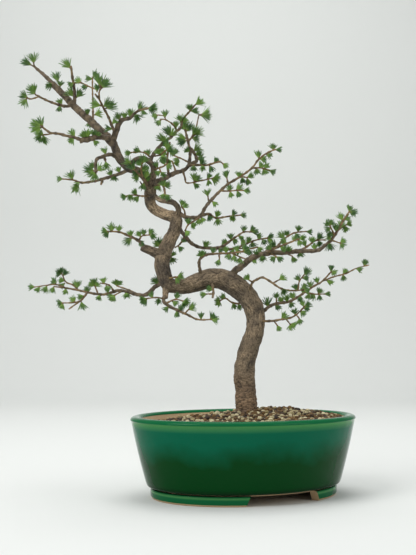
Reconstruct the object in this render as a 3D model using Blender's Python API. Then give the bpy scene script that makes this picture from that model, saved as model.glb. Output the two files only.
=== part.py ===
"""A larch bonsai in a green glazed oval pot.

The tree is sighted: each point of a limb is where an eye 1.2 m in front of the pot sees it, and
how far it stands behind the trunk's plane. seen() turns that into a place in metres. Every other
size is a real one, in millimetres. X runs along the front, Y to the back and Z up. The origin is
under the middle of the whole, on the surface that the pot's feet stand on.
"""

import math
import random

import bmesh
import bpy
from mathutils import Matrix, Vector

MM = 0.001

# The eye that the tree is sighted from
EYE_AWAY = 1216 * MM        # in front of the pot's middle
EYE_UP = 178.7 * MM           # above the feet
EYE_LEFT = 44.0 * MM        # left of the pot's middle
EYE_TILT = math.radians(3.8)
SIGHT_MIDDLE = (208, 277.5)
SIGHT_LENGTH = 1006         # the eye's focal length, in the sight's own units
WHOLE_TO_POT = Vector((58.5 * MM, 0, 0))   # the tree leans left, so the pot stands right of the middle

# Pot
RIM_HALF = (141.5 * MM, 113.3 * MM)
POT_HEIGHT = 94.7 * MM
POT_TURN = math.radians(28.9)
SHARE_AT_BASE = 0.85        # the wall's plan at its foot, as a share of the rim's
BELLY = 0.05
SHARE_OF_FOOT = 0.822
SHARE_OF_GROOVE = 0.803     # between the foot band and the wall
WALL_FOOT = 15 * MM         # where the wall begins, above the groove
FOOT_HEIGHT = 11 * MM
FOOT_THICK = 9 * MM
WALL = 10.5 * MM
FLOOR = 9 * MM
HAUNCH = 7 * MM             # how high the inside rounds up from the floor
LIP = 2.2 * MM
WINDOW_HALF = math.radians(22.3)
DRAIN_RADIUS = 9 * MM
DRAIN_APART = 90 * MM
PLAN_STEPS = 36

# Soil
CLEAR = 0.3 * MM
SOIL_EDGE = 9.5 * MM        # below the rim, at front and back
SOIL_TILT = 3.5 * MM        # higher than that at the right, and lower at the left
SOIL_MOUND = 14 * MM        # the heap at the trunk
GRAIN_RELIEF = 1.6 * MM
SOIL_RINGS = 9
SCREEN_SIZE = 30 * MM
SCREEN_THICK = 1.0 * MM
SCREEN_HOLE = 5.5 * MM
SCREEN_ROWS = 3

# Needles
TUFT_REACH = (9.5 * MM, 20 * MM)   # from the twig to the needles' tips
NEEDLE_REACH = 15 * MM      # the most that is needle: a spur makes up the rest
BUD_RISE = 2.2 * MM
BUD_RADIUS = 1.3 * MM
BUD_LENGTH = 2.6 * MM
NEEDLES_ROUND = 4
NEEDLE_SPREAD = 0.6

# Places and radii of the trunk: (x, y, behind in mm, radius in mm)
TRUNK = [
    (246, 424, 0, 13.4), (246.3, 411, 0, 13.2), (246, 400, 0, 12.9), (245.2, 388, 0, 12.6),
    (244, 375, 0, 12.7), (245, 364, 0, 12.4), (248, 352, 0, 12.2), (252, 340, 0, 11.8),
    (255.3, 328, 0, 11.3), (255.4, 314, 1, 11.6), (250.4, 301.2, 2, 12.4), (243.6, 292.4, 4, 13.1),
    (232.6, 284, 5, 13.4), (221, 279, 5, 12.8), (209, 278.4, 4, 12.2), (197, 282.8, 2, 11.0),
    (186, 286, 0, 9.8), (176, 286.5, -2, 9.0), (168, 284, -4, 9.0), (164.5, 275, -5, 9.0),
    (161.8, 263, -4, 9.2), (164.8, 251, -2, 8.8), (170.1, 240, 0, 8.7), (174.8, 229, 2, 8.0),
    (175.4, 218.8, 4, 7.8), (166.3, 214.8, 6, 6.8), (156.8, 210.8, 8, 6.8), (150.4, 203.8, 8, 6.8),
    (150.2, 193, 6, 7.6), (150.5, 184, 4, 7.4), (145, 176, 2, 6.0), (137, 171, 1, 5.2),
    (128, 168, 0, 4.9), (120.5, 160, 0, 5.1), (116, 150, 0, 5.2), (113, 142, 0, 4.7),
]

# Bare limbs that are one body with the trunk: (route, first radius, last radius)
BARE_LIMBS = [
    ([(151, 184, -2), (153.5, 174, -6), (153, 166, -9), (147, 160, -11), (140, 158.5, -11),
      (134, 161, -8), (130, 167, -2)], 4.4, 3.0),
    ([(176.5, 217, 4), (178.5, 209, -2), (174, 203, -5), (167, 201, -6), (159, 199.5, -3),
      (152, 193, 4)], 3.9, 3.0),
    ([(146, 191, 0), (142, 184.5, -4), (139.6, 181, -6)], 1.6, 0.9),
    ([(164, 255.5, -3), (156, 253.2, -5), (147, 249.2, -8), (141, 247.2, -9)], 6.8, 4.4),
    ([(166, 286, -5), (165.5, 293, -7), (165.5, 298.5, -9)], 4.6, 3.0),
    ([(234, 279, 4), (236, 270.5, 2), (243.5, 270, 0)], 2.2, 0.9),
]

# Each leafy spray: its limbs, as (route, first radius, last radius), and its tufts, as
# (root x, root y, tip x, tip y). The first limb grows from the trunk, the rest from one another.
SPRAYS = {
    "spray_leader": {
        "limbs": [
            ([(114, 145, 0), (107, 136.5, 1), (99.6, 130, 3), (93, 123.4, 6), (86.3, 117, 8),
              (79.5, 111, 10), (73, 105, 12), (64.2, 95.4, 15), (58, 89.2, 17.5), (52, 83.4, 20)],
             5.0, 3.6),
            ([(53.5, 85, 19.5), (48, 78.8, 22.5), (44.5, 75.2, 24), (39, 70.8, 27), (33.6, 65.8, 30)],
             2.8, 1.4),
            ([(74.5, 103, 11), (74.3, 90, 6), (72.6, 79, 2), (71, 66, -2)], 2.1, 1.2),
            ([(73.5, 83, 2), (80, 82.5, -4), (88, 86, -9), (95, 89, -12)], 1.1, 0.8),
            ([(93, 119, 6), (93, 104, 16), (92.5, 90, 24), (92.5, 77, 30)], 1.2, 0.8),
            ([(73, 104, 11), (67, 106.3, 6), (61, 105.4, 1), (53.5, 103, -4), (45, 99.6, -9), (36, 95, -15)],
             2.0, 1.1),
            ([(38, 97, -12), (31, 99, -8), (27, 98, -6)], 0.9, 0.8),
            ([(112, 141, -2), (116, 132, -8), (119, 124, -14), (123, 119.5, -18), (130, 118, -22),
              (138, 111, -27), (149, 108, -32)], 4.2, 1.0),
            ([(115.5, 134, -8), (112, 126, -16), (108, 116, -22), (103.5, 108, -27),
              (99, 99, -31), (95, 94, -34)], 1.7, 0.9),
            ([(99.5, 99, -31), (99, 93, -36), (101, 88, -40)], 1.0, 0.9),
            ([(111, 139, -3), (102, 137, -8), (95, 137.4, -12), (87, 139.6, -17), (80, 140.2, -20)],
             3.2, 3.2),
            ([(81.5, 140.2, -19), (76, 138, -22), (68.6, 136.2, -25), (57.6, 133.6, -29),
              (50, 132.6, -32), (42, 126.8, -36)], 2.0, 1.1),
            ([(54, 133, -31), (47, 134.5, -25), (40, 134.5, -20)], 0.9, 0.7),
        ],
        "tufts": [
            (34, 66, 32.5, 51), (33, 66, 20, 59), (58, 82, 55, 72), (60, 87, 61, 80),
            (53, 83, 46, 88), (71, 69, 62, 59), (76, 98, 83, 89), (74, 97, 66, 87),
            (74, 83, 70, 85), (81, 83, 76, 79), (88, 86, 82, 88), (93, 79, 84, 78),
            (93, 78, 97, 71), (97, 92, 97, 83), (94, 115, 104, 112),
            (88, 115, 87, 108), (62, 105, 58, 98), (60, 105, 59, 112), (36, 95, 27, 85),
            (35, 94, 31, 83), (28, 98, 19, 93), (27, 98, 21, 108), (90, 120, 90, 129),
            (120, 121, 117, 112), (125, 119, 124, 111), (130, 118, 131, 107), (138, 111, 144, 103),
            (142, 109, 143, 112), (148, 108, 159, 107), (148, 108, 155, 111), (135, 114, 140, 122),
            (104.5, 109, 118, 103), (101.5, 106, 89, 102), (101, 88, 104.5, 75), (100.5, 88, 96.5, 72.5),
            (101, 89, 111, 78), (113, 129, 103, 128), (112, 124, 117, 119), (103, 107, 113, 100),
            (94, 137, 93, 129), (88, 138, 87, 127), (85, 138, 81, 131), (75, 137, 69, 129),
            (93, 140, 98, 145), (74, 138, 70, 142), (43, 127, 38, 118), (42, 126, 28, 123),
            (42, 127, 30, 132), (44, 135, 36, 132), (43, 135, 45, 144), (41, 135, 36, 143),
            (90, 139, 83, 133), (96, 138, 99, 131),
        ],
    },
    "spray_left_knob": {
        "limbs": [
            ([(117, 157, -1), (110, 154.5, -8), (103, 156.5, -13), (97, 159, -17), (95.5, 165, -20),
              (96, 172, -23)], 2.4, 1.6),
            ([(104, 156.5, -12), (105.5, 161, -10)], 1.6, 1.2),
        ],
        "tufts": [
            (106, 155, 103, 146), (105.5, 161, 107, 170), (95, 171, 83, 169), (96, 172, 87, 178),
            (96, 173, 95, 179), (97, 171, 104, 165), (96, 166, 90, 165),
        ],
    },
    "spray_left_crook": {
        "limbs": [
            ([(130, 169, 2), (119, 174, 9), (106, 178, 15), (95, 181, 20), (82, 182.7, 25),
              (73, 180, 29), (63, 179, 32)], 2.3, 0.8),
            ([(103, 179, 16), (101, 184.5, 14)], 1.5, 1.3),
        ],
        "tufts": [
            (73, 180, 68, 169), (79, 182, 73, 195), (120, 173, 117, 166), (112, 176, 108, 170),
            (63, 179, 56, 179), (80, 182, 74, 187), (114, 175, 114, 182),
        ],
    },
    "spray_crown_front": {
        "limbs": [
            ([(147, 184, -3), (144, 179, -13), (139, 174, -19), (134, 169, -24), (130, 163, -28)],
             1.5, 0.9),
            ([(143, 178, -14), (141, 170, -21), (142, 163, -26)], 1.0, 0.8),
        ],
        "tufts": [
            (144, 180, 148, 169), (143, 178, 139, 169), (140, 175, 131, 173), (139, 176, 133, 180),
            (136, 171, 127, 161), (131, 165, 124, 158), (142, 166, 136, 160), (142, 164, 145, 155),
            (145, 182, 151, 176), (141, 172, 149, 164), (144, 182, 142, 191),
        ],
    },
    "spray_crown_arch": {
        "limbs": [
            ([(150, 163, -8), (151.5, 157.5, -6), (157, 149.5, 0), (163, 143, 6), (170, 138, 12),
              (176, 132, 17), (181, 127, 21), (182, 121, 25), (189, 112, 29), (195.5, 104.5, 33)],
             2.4, 1.0),
            ([(151, 158, -6), (145, 153, -12), (139, 152, -17), (130, 152.5, -23)], 0.9, 0.7),
            ([(177, 131, 18), (173, 124.5, 12), (165, 119.5, 6), (160, 119.5, 2)], 1.0, 0.7),
            ([(165.5, 120, 6), (164, 116, 10), (158, 115, 14)], 0.7, 0.6),
            ([(153, 156, -3), (160, 155, -12), (166, 150, -20)], 1.0, 0.8),
        ],
        "tufts": [
            (195, 105, 204.5, 98.5), (190, 111, 189, 103), (190, 111, 200, 110.5), (181, 122, 179, 113),
            (176, 129, 175, 119), (165, 118, 165, 109), (158, 115, 153, 117), (161, 120, 157, 124),
            (171, 137, 164, 125), (170, 138, 174, 128), (164, 142, 157, 135), (163, 143, 166, 134),
            (162, 144, 169, 145), (182, 122, 187, 119), (149, 156, 147, 150), (141, 152, 133, 149),
            (131, 153, 125, 153), (166, 150, 170, 142), (165, 151, 175, 149), (160, 155, 156, 149),
            (162, 154, 164, 162), (158, 149, 165, 151),
        ],
    },
    "spray_crown_right": {
        "limbs": [
            ([(151, 183, 6), (161, 180, 12), (168, 176.5, 17), (176, 172.5, 22), (183, 170.5, 27),
              (188, 166.5, 31), (190, 157, 35), (189.5, 148, 40), (187, 137, 45), (185, 129, 50)],
             3.4, 1.2),
            ([(188, 166, 31), (194, 165, 26), (207, 165, 20), (219, 161.8, 14), (223, 164, 11)],
             1.7, 0.8),
            ([(183, 171, 27), (185, 178, 34), (187, 183, 40), (200, 181, 47), (213, 178, 53)],
             1.2, 0.7),
            ([(190, 164, 31), (196.5, 161, 34), (195, 154.5, 37), (191, 148.5, 40)], 2.2, 1.8),
            ([(188, 141, 44), (192, 137, 50), (196, 128, 56), (199, 114, 62)], 1.3, 0.7),
            ([(169, 176, 18), (167.5, 166, 12), (167.5, 156, 6), (170, 142, 0)], 1.7, 0.9),
            ([(188, 162, 33), (180, 158, 40), (173, 155, 46)], 1.0, 0.8),
            ([(176, 172, 22), (174, 166, 26), (172, 161, 30)], 1.1, 0.8),
        ],
        "tufts": [
            (200, 165, 205, 158), (214, 163.5, 218, 158.5), (222.5, 163.5, 227.5, 167), (209, 165, 213.5, 173),
            (202, 165, 203, 171), (194, 182, 195, 171), (193, 182.4, 199.5, 189), (208, 179, 209.5, 186),
            (195, 181.8, 200.5, 175.5), (197, 160, 205.5, 156), (211, 178.5, 219.5, 182),
            (207, 179, 211, 173), (213, 178, 221.5, 176), (195, 155, 203, 151.5), (193, 151, 203.5, 145),
            (191.5, 138, 202, 139), (199, 115, 213.5, 111.5),
            (199, 115, 212.5, 117.5), (192, 137, 206.5, 125.5), (187, 138.5, 175, 137), (187.5, 140, 176, 144),
            (185, 131, 184, 119), (186, 132, 192, 122), (191, 138, 199.5, 122.5), (190, 152, 184, 148),
            (168, 158, 161, 159), (167.5, 155, 160, 151), (169, 146, 163, 141), (169, 150, 176, 155),
            (174, 155, 177, 148), (178, 157, 175, 163), (173, 163, 181, 163), (172, 161, 166, 163),
            (185, 130, 180, 124), (194, 165, 193, 172),
        ],
    },
    "spray_crown_side": {
        "limbs": [
            ([(152, 171, -7), (159, 168, -14), (164, 166, -20), (167, 163, -25)], 1.1, 0.8),
            ([(159, 168, -14), (161, 172, -19)], 0.8, 0.7),
        ],
        "tufts": [
            (158, 168, 154, 161), (161, 172, 165, 177), (161, 171, 155, 175), (166, 164, 171, 168),
            (165, 165, 162, 159),
        ],
    },
    "spray_hanging": {
        "limbs": [
            ([(154, 187, -3), (161, 184, -10), (164, 188, -14), (165, 194, -18)], 1.6, 1.2),
        ],
        "tufts": [
            (164, 187, 162, 181), (163, 186, 171, 184), (165, 193, 161, 199), (165, 194, 170, 200),
            (160, 185, 157, 191),
        ],
    },
    "spray_left_twig": {
        "limbs": [
            ([(149.5, 196, 4), (141, 196, -9), (134, 195, -14), (126, 196, -18)], 1.1, 0.7),
        ],
        "tufts": [
            (127, 196, 120, 198), (132, 195, 129, 200), (139, 196, 134, 202), (137, 195, 133, 190),
        ],
    },
    "spray_right_fan": {
        "limbs": [
            ([(178, 212, 2), (184, 216.5, 0), (192, 217.7, -3), (200, 216, -6), (205, 208, -9),
              (209, 202.5, -12), (219, 192, -17), (228, 184, -22), (239, 177.5, -28),
              (252, 168, -34), (258, 160, -38), (267, 153, -43), (275, 149.5, -47)], 2.6, 0.8),
            ([(202, 215.5, -6), (209, 214, -1), (216, 218, 4), (228, 216.5, 9), (241, 215, 14)],
             1.8, 0.7),
            ([(200, 217, -6), (194, 221, -12), (188, 225, -17), (185, 231, -21)], 1.1, 0.8),
            ([(221, 191, -18), (229, 191, -24), (236, 190.5, -29), (243, 190.5, -34)], 0.9, 0.7),
            ([(253, 168, -34), (261, 168, -29), (269, 170, -25)], 1.1, 0.7),
            ([(241, 176.5, -28), (247, 177.5, -23)], 0.9, 0.7),
            ([(209, 203, -12), (208, 197, -8)], 1.0, 0.8),
            ([(228, 184, -22), (227, 179, -18)], 1.1, 0.9),
            ([(185, 216.5, 0), (184.5, 211, -5), (181.5, 206.5, -9)], 1.1, 0.9),
        ],
        "tufts": [
            (208, 197, 206, 187), (212, 201, 216, 205), (227, 179, 225, 169.5),
            (181.5, 206.5, 182.5, 201), (182, 207.5, 186.5, 205), (239, 178, 239, 170),
            (242, 177, 243, 182), (247, 177.5, 253, 175), (247, 177.5, 249, 186),
            (229, 191, 230, 186), (230, 191, 231, 195), (236, 190.5, 242, 185),
            (237, 190.5, 240, 198), (243, 190.5, 250, 191), (259, 168, 263, 163),
            (256, 168, 258, 176), (263, 168.5, 267, 176), (264, 168.5, 269, 164),
            (269, 170, 274, 172), (259, 159, 258, 150), (260, 159, 268, 160), (266, 154, 272, 156),
            (273, 150, 273, 146), (275, 149.5, 282, 150), (216, 218, 219, 210),
            (217, 218, 219, 226), (208, 215, 212, 222), (232, 216, 236, 210), (230, 216.5, 233, 219),
            (240, 215, 246, 215), (199, 217.5, 198, 226), (201, 216.5, 204, 223),
            (191, 223, 195, 227), (188, 225, 188, 219), (185, 230, 188, 234),
        ],
    },
    "spray_right_back": {
        "limbs": [
            ([(179, 229, 4), (184, 234.5, 14), (189, 241, 22), (194, 245, 28), (202, 247.7, 34),
              (214, 248, 40), (223, 246, 44), (230, 241, 48), (238, 235.5, 52), (244, 232, 56),
              (251, 232, 60)], 2.6, 0.8),
            ([(214, 248, 40), (225, 249.5, 46), (236, 248, 51), (246, 244, 56), (256, 240, 62),
              (268, 238, 67)], 1.6, 0.8),
            ([(237, 247.5, 51), (248, 249, 45), (258, 247, 40)], 1.0, 0.8),
            ([(185, 236, 16), (180, 244, 24), (175, 247.5, 30)], 1.1, 0.8),
        ],
        "tufts": [
            (204, 247.5, 208, 240), (228, 243, 222, 241), (231, 240, 230.5, 232),
            (243, 232, 244.5, 226), (250, 232, 255, 226), (251, 232, 260, 232),
            (238, 235.5, 243, 239), (218, 248, 223, 253), (236, 248, 240, 255),
            (241, 246, 245, 238), (247, 243.5, 250, 236), (252, 241.5, 254, 249),
            (258, 240, 261, 232), (262, 239, 266, 245), (267, 238, 274, 234), (267, 238, 272, 242),
            (248, 249, 251, 256), (257, 247, 263, 252), (181, 243, 186, 237), (178, 246, 183, 251),
            (226, 249, 221, 243), (234, 248, 231, 254), (232, 239.5, 238, 243),
        ],
    },
    "spray_loop": {
        "limbs": [
            ([(200.5, 273, -4), (199, 263, -11), (201, 258, -16), (208, 254.5, -22),
              (220, 253.5, -28), (232, 253, -34), (243, 251.5, -40)], 1.8, 0.9),
            ([(219, 253.5, -28), (219.5, 259, -33)], 1.0, 0.8),
            ([(232, 253, -34), (240, 257, -29), (246, 259, -26)], 0.9, 0.7),
        ],
        "tufts": [
            (203, 257, 204, 249), (203, 257, 198, 252), (219.5, 259, 217, 266), (230, 253, 227, 260),
            (234, 254, 234, 263), (243, 251.5, 247, 244), (242, 252, 250, 250), (237, 252.5, 236, 245),
            (226, 253.5, 226, 247), (240, 257, 239, 264), (212, 254, 214, 248),
        ],
    },
    "spray_right_main": {
        "limbs": [
            ([(231, 277, 5), (235, 271, 3), (243, 265, 1), (250, 259, -2), (258, 255.5, -5),
              (270, 253, -8), (284, 252.5, -10), (300, 251, -12), (317, 250.5, -14),
              (325, 245.5, -17), (332, 239, -20), (338, 230, -24)], 4.4, 1.5),
            ([(338, 230, -24), (343, 221, -28), (349, 212, -32)], 1.5, 0.8),
            ([(262, 255, -6), (268, 250, 2), (277, 246.5, 9), (284, 239, 15), (294, 233, 21),
              (306, 231.5, 27)], 1.7, 0.8),
            ([(299, 251, -12), (307, 246.5, -5), (316, 240.5, 1), (326, 240, 6)], 1.3, 0.8),
            ([(266, 253.5, -7), (274, 249, -18), (286, 244, -27), (299, 239, -35)], 1.5, 0.8),
            ([(331, 240, -20), (340, 243, -27)], 0.9, 0.7),
            ([(335, 236, -22), (330, 226, -31)], 1.1, 0.8),
            ([(338, 230, -24), (346, 225, -14)], 1.0, 0.7),
            ([(284, 252.5, -10), (292, 256, -2)], 0.9, 0.7),
            ([(270, 253, -8), (276, 256.5, -18)], 0.9, 0.7),
        ],
        "tufts": [
            (349, 212, 350, 205), (349, 212, 358, 213), (343, 221, 339, 213), (344, 220, 349, 217),
            (330, 226, 326, 222), (330, 226, 332, 219), (331, 228, 326, 230), (336, 232, 336, 222),
            (346, 225, 351, 223), (345, 226, 346, 232), (340, 228, 342, 221), (334, 236, 330, 234),
            (331, 240, 327, 236), (340, 243, 345, 240), (340, 243, 344, 248), (329, 242, 331, 252),
            (317, 240, 323, 233), (312, 243.5, 312, 236), (319, 240.5, 320, 247), (306, 247, 303, 240),
            (306, 231.5, 311, 232), (298, 232, 299, 225), (295, 233, 300, 240), (288, 236.5, 286, 230),
            (284, 239, 279, 231), (281, 242, 288, 246), (276, 247, 270, 241), (293, 241, 297, 236),
            (299, 239, 306, 237), (298, 239, 301, 246), (286, 244, 281, 239), (280, 246.5, 286, 251),
            (272, 250, 266, 244), (262, 255, 263, 262), (276, 256.5, 270, 261), (276, 256.5, 283, 261),
            (292, 256, 294, 260), (288, 252.5, 289, 245), (300, 251, 301, 257), (315, 250, 314, 244),
            (256, 256, 257, 249), (250, 259, 258, 262),
        ],
    },
    "spray_right_bow": {
        "limbs": [
            ([(250, 290, -6), (252.5, 282.5, -17), (257, 279.5, -23), (263, 277.5, -27),
              (271, 282, -31), (280, 288, -34), (290, 290.5, -37), (303, 290, -40)], 1.5, 0.9),
            ([(253, 282, -17), (249.5, 280.5, -22)], 0.8, 0.7),
            ([(273, 283, -31), (279, 280, -36)], 0.9, 0.7),
            ([(298, 290.5, -39), (299.5, 281, -45), (304, 275, -49)], 0.9, 0.7),
        ],
        "tufts": [
            (249.5, 280.5, 246, 276), (279, 280, 286, 276), (283, 289, 285, 294), (297, 290.5, 294, 284),
            (304, 275, 310, 268), (302, 278, 309, 278), (299.5, 281, 296, 275), (303, 290, 305, 285),
            (303, 290, 310, 291),
        ],
    },
    "spray_right_low": {
        "limbs": [
            ([(258, 316, 3), (268, 307.5, 8), (275, 304, 11), (289, 301.5, 15), (297, 297.5, 19),
              (304, 293, 23), (314, 286, 28), (322, 281.5, 32), (331, 272, 38)], 2.1, 0.9),
            ([(323, 281, 32), (333, 277, 27), (346, 273.5, 22), (356, 268.5, 18), (369, 265, 13)],
             1.0, 0.6),
            ([(305, 292, 24), (314, 294, 32), (324, 294, 39)], 1.2, 0.7),
            ([(276.5, 304, 11), (276.5, 299, 8)], 0.8, 0.7),
        ],
        "tufts": [
            (276.5, 299, 276, 293), (275, 304, 280, 310), (268, 307.5, 266, 296),
            (283, 302.5, 279, 297), (287, 302, 286, 294), (293, 299.5, 292, 292),
            (290, 301.5, 292, 306), (300, 295, 300, 302), (303, 294, 303, 287), (311, 288, 309, 281),
            (318, 283.5, 316, 278), (331, 272, 331, 264), (331, 272, 336, 273), (326, 280, 334, 284),
            (343, 274.5, 347, 268), (343, 274.5, 344, 281), (356, 268.5, 361, 270),
            (364, 266, 366, 260), (315, 294, 310, 300), (324, 294, 329, 294), (318, 294, 321, 288),
            (319, 294, 320, 300), (310, 293, 307, 299),
        ],
    },
    "spray_right_lowest": {
        "limbs": [
            ([(259, 321, -4), (271, 321, -11), (281, 319.5, -16), (290, 318, -20), (297, 314, -24),
              (304, 307, -28)], 1.4, 0.8),
            ([(274, 321, -12), (277, 325, -16)], 0.8, 0.7),
            ([(286, 319, -18), (290, 324, -14)], 0.8, 0.7),
            ([(296, 314.5, -24), (299, 318, -29)], 0.8, 0.7),
        ],
        "tufts": [
            (277, 325, 280, 331), (281, 319.5, 289, 312), (290, 324, 291, 330), (290, 324, 295, 325),
            (295, 315, 294, 307), (299, 318, 300, 323), (304, 307, 302, 301), (304, 307, 312, 302),
            (303, 308, 311, 309), (300, 311, 304, 314),
        ],
    },
    "spray_under_arch": {
        "limbs": [
            ([(212, 284, -5), (213.5, 291, -12), (212.5, 298, -16)], 1.7, 1.2),
            ([(213.3, 294, -14), (207, 294, -19)], 0.9, 0.7),
        ],
        "tufts": [(207, 294, 201, 295), (213, 290, 206, 288)],
    },
    "spray_under_bow": {
        "limbs": [
            ([(244, 299, 6), (239, 303.5, 17), (231, 302, 21), (226, 298.5, 24), (220, 300.5, 27)],
             1.3, 0.7),
        ],
        "tufts": [
            (226, 298.5, 221, 295), (220, 300.5, 218, 305), (233, 302.5, 234, 306),
            (238, 303.5, 241, 310), (221, 300.5, 216, 300),
        ],
    },
    "spray_low_front": {
        "limbs": [
            ([(165.5, 295, -8), (163.5, 301, -14), (169, 306, -18), (177, 310, -22),
              (188, 315, -27), (198, 319.5, -32), (211, 319.5, -37)], 2.3, 0.8),
            ([(164.5, 299, -12), (157, 297.5, -19), (147, 298.5, -26)], 1.1, 0.7),
            ([(166, 303.5, -16), (175, 299.5, -23), (183, 301, -28)], 1.1, 0.7),
            ([(185, 313.5, -26), (188, 310, -30)], 0.8, 0.7),
        ],
        "tufts": [
            (147, 298.5, 142, 306), (147, 298.5, 139, 300), (153, 298, 150, 292), (159, 298, 158, 304),
            (176, 299.5, 178, 293), (183, 301, 190, 302), (183, 301, 185, 307), (172, 301, 178, 305),
            (169, 306, 165, 310), (177, 310, 177, 318), (178, 310.5, 183, 306), (188, 310, 196, 305),
            (201, 319.5, 201, 314), (210, 319.5, 216, 312), (211, 319.5, 220, 321),
        ],
    },
    "spray_left_low": {
        "limbs": [
            ([(165, 282, -2), (156, 286, 6), (151, 291, 10), (145, 295, 13), (137, 294.5, 15),
              (126, 291.5, 17), (118, 290.5, 18), (107, 294, 18), (99, 294.3, 19), (86, 292, 21),
              (77, 290, 23), (66, 288, 26), (54, 286.5, 30)], 2.8, 0.8),
            ([(137, 294, 15), (129, 290, 23), (117, 286, 31)], 1.1, 0.8),
            ([(114, 291.5, 18), (109, 285, 10), (100, 283, 4)], 1.1, 0.7),
            ([(98, 294, 19), (95, 286, 25)], 1.0, 0.8),
            ([(122, 291, 17), (115, 295, 9)], 1.0, 0.7),
            ([(87, 292.5, 21), (82, 299.5, 14), (75, 302.5, 8), (63, 303, 3)], 1.2, 0.7),
            ([(80, 301, 12), (69, 309, 18)], 1.0, 0.8),
            ([(78, 290, 23), (73, 285, 31), (66, 282, 37), (62, 274, 43)], 1.1, 0.7),
            ([(66, 288, 26), (56, 284.5, 20), (45, 285.5, 15), (35, 287, 11)], 0.9, 0.6),
        ],
        "tufts": [
            (160, 284, 151, 277), (117, 286, 113, 279), (117, 286, 121, 280), (104, 284, 103, 278),
            (106, 285, 108, 289), (95, 286, 93, 277), (95, 286, 87, 282), (95, 287, 100, 281),
            (108, 293.5, 107, 286), (115, 295, 111, 302), (115, 295, 107, 298), (126, 292, 127, 299),
            (100, 294.3, 98, 300), (88, 292.5, 87, 287), (84, 296, 78, 297), (63, 303, 57, 303),
            (63, 303, 61, 310), (75, 302, 71, 297), (81, 301, 84, 312), (77, 289, 77, 279),
            (62, 274, 59, 266), (62, 274, 54, 273), (63, 276, 68, 269), (65, 281, 60, 280),
            (65, 283, 60, 287), (54, 286.5, 51, 293), (66, 288, 65, 294), (56, 284.5, 52, 279),
            (47, 285.5, 43, 294), (40, 286.5, 36, 292), (35, 287, 30, 287),
        ],
    },
    "spray_left_mid": {
        "limbs": [
            ([(144, 247, -9), (139, 241, -14), (130, 236.5, -19), (119, 232, -24),
              (108, 231.5, -29)], 2.2, 0.8),
            ([(139, 241, -14), (142, 236, -20), (150, 235, -25)], 0.9, 0.7),
        ],
        "tufts": [
            (132, 237.5, 124, 245), (131, 237, 130, 229), (119, 232, 119, 226), (112, 231.5, 111, 223),
            (108, 231.5, 102, 230), (109, 231.5, 104, 237), (141, 237, 136, 231),
            (144, 235.5, 143, 229), (149, 235, 152, 229), (150, 235, 155, 237), (139, 240, 142, 244),
        ],
    },
    "spray_elbow": {
        "limbs": [([(166, 279, -8), (173, 277.5, -15), (177, 277, -17)], 1.2, 0.9)],
        "tufts": [(177, 277, 185, 275), (175, 277.3, 181, 281)],
    },
    "spray_side": {
        "limbs": [([(162, 251, 4), (160, 246, 9)], 1.2, 1.0)],
        "tufts": [(160, 246, 158, 237), (160, 247, 154, 241)],
    },
    "spray_inside": {
        "limbs": [([(165, 257, 3), (171, 257, 11)], 1.2, 1.0)],
        "tufts": [(171, 257, 174, 251), (171, 257, 174, 264)],
    },
}


def seen(x, y, behind):
    """The place that the eye sees at (x, y) of its view, this many millimetres behind the trunk's plane."""
    right = (x - SIGHT_MIDDLE[0]) / SIGHT_LENGTH
    up = (SIGHT_MIDDLE[1] - y) / SIGHT_LENGTH
    reach = (EYE_AWAY + behind * MM) / (math.cos(EYE_TILT) - up * math.sin(EYE_TILT))
    height = EYE_UP + reach * (math.sin(EYE_TILT) + up * math.cos(EYE_TILT))
    return WHOLE_TO_POT + Vector((reach * right - EYE_LEFT, behind * MM, height))


def clear_scene():
    for old in list(bpy.data.objects):
        bpy.data.objects.remove(old)


def new_collection(name):
    made = bpy.data.collections.new(name)
    bpy.context.scene.collection.children.link(made)
    return made


def material(name, colour, roughness):
    made = bpy.data.materials.new(name)
    made.use_nodes = True
    shader = made.node_tree.nodes["Principled BSDF"]
    shader.inputs["Base Color"].default_value = (*colour, 1)
    shader.inputs["Roughness"].default_value = roughness
    return made


def mesh_object(name, bm, collection):
    mesh = bpy.data.meshes.new(name)
    bm.to_mesh(mesh)
    bm.free()
    made = bpy.data.objects.new(name, mesh)
    collection.objects.link(made)
    return made


def evaluated_copy(obj, name, collection):
    """A plain mesh object of what obj's modifiers or bevel make, with obj removed."""
    graph = bpy.context.evaluated_depsgraph_get()
    mesh = bpy.data.meshes.new_from_object(obj.evaluated_get(graph))
    made = bpy.data.objects.new(name, mesh)
    made.matrix_world = obj.matrix_world
    bpy.data.objects.remove(obj)
    collection.objects.link(made)
    return made


def keep_largest_body(obj):
    """Drops the loose scraps that a cut leaves."""
    bm = bmesh.new()
    bm.from_mesh(obj.data)
    left = set(bm.verts)
    largest = set()
    while left:
        body = set()
        edge = [left.pop()]
        while edge:
            vert = edge.pop()
            body.add(vert)
            near = {e.other_vert(vert) for e in vert.link_edges} - body
            edge.extend(near & left)
            left -= near
        largest = max(largest, body, key=len)
    bmesh.ops.delete(bm, geom=[v for v in bm.verts if v not in largest], context="VERTS")
    bm.to_mesh(obj.data)
    bm.free()


def smooth_route(points, step):
    """A Catmull-Rom curve through (place, radius) pairs, with a point about every step."""
    ends = [points[0], *points, points[-1]]
    made = []
    for a, b, c, d in zip(ends, ends[1:], ends[2:], ends[3:]):
        pieces = max(1, round((c[0] - b[0]).length / step))
        for k in range(pieces):
            t = k / pieces
            weights = (-t + 2 * t**2 - t**3, 2 - 5 * t**2 + 3 * t**3, t + 4 * t**2 - 3 * t**3, t**3 - t**2)
            place = sum((w * p[0] for w, p in zip(weights, (a, b, c, d))), Vector()) / 2
            made.append((place, b[1] + (c[1] - b[1]) * t))
    return made + [points[-1]]


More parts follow.
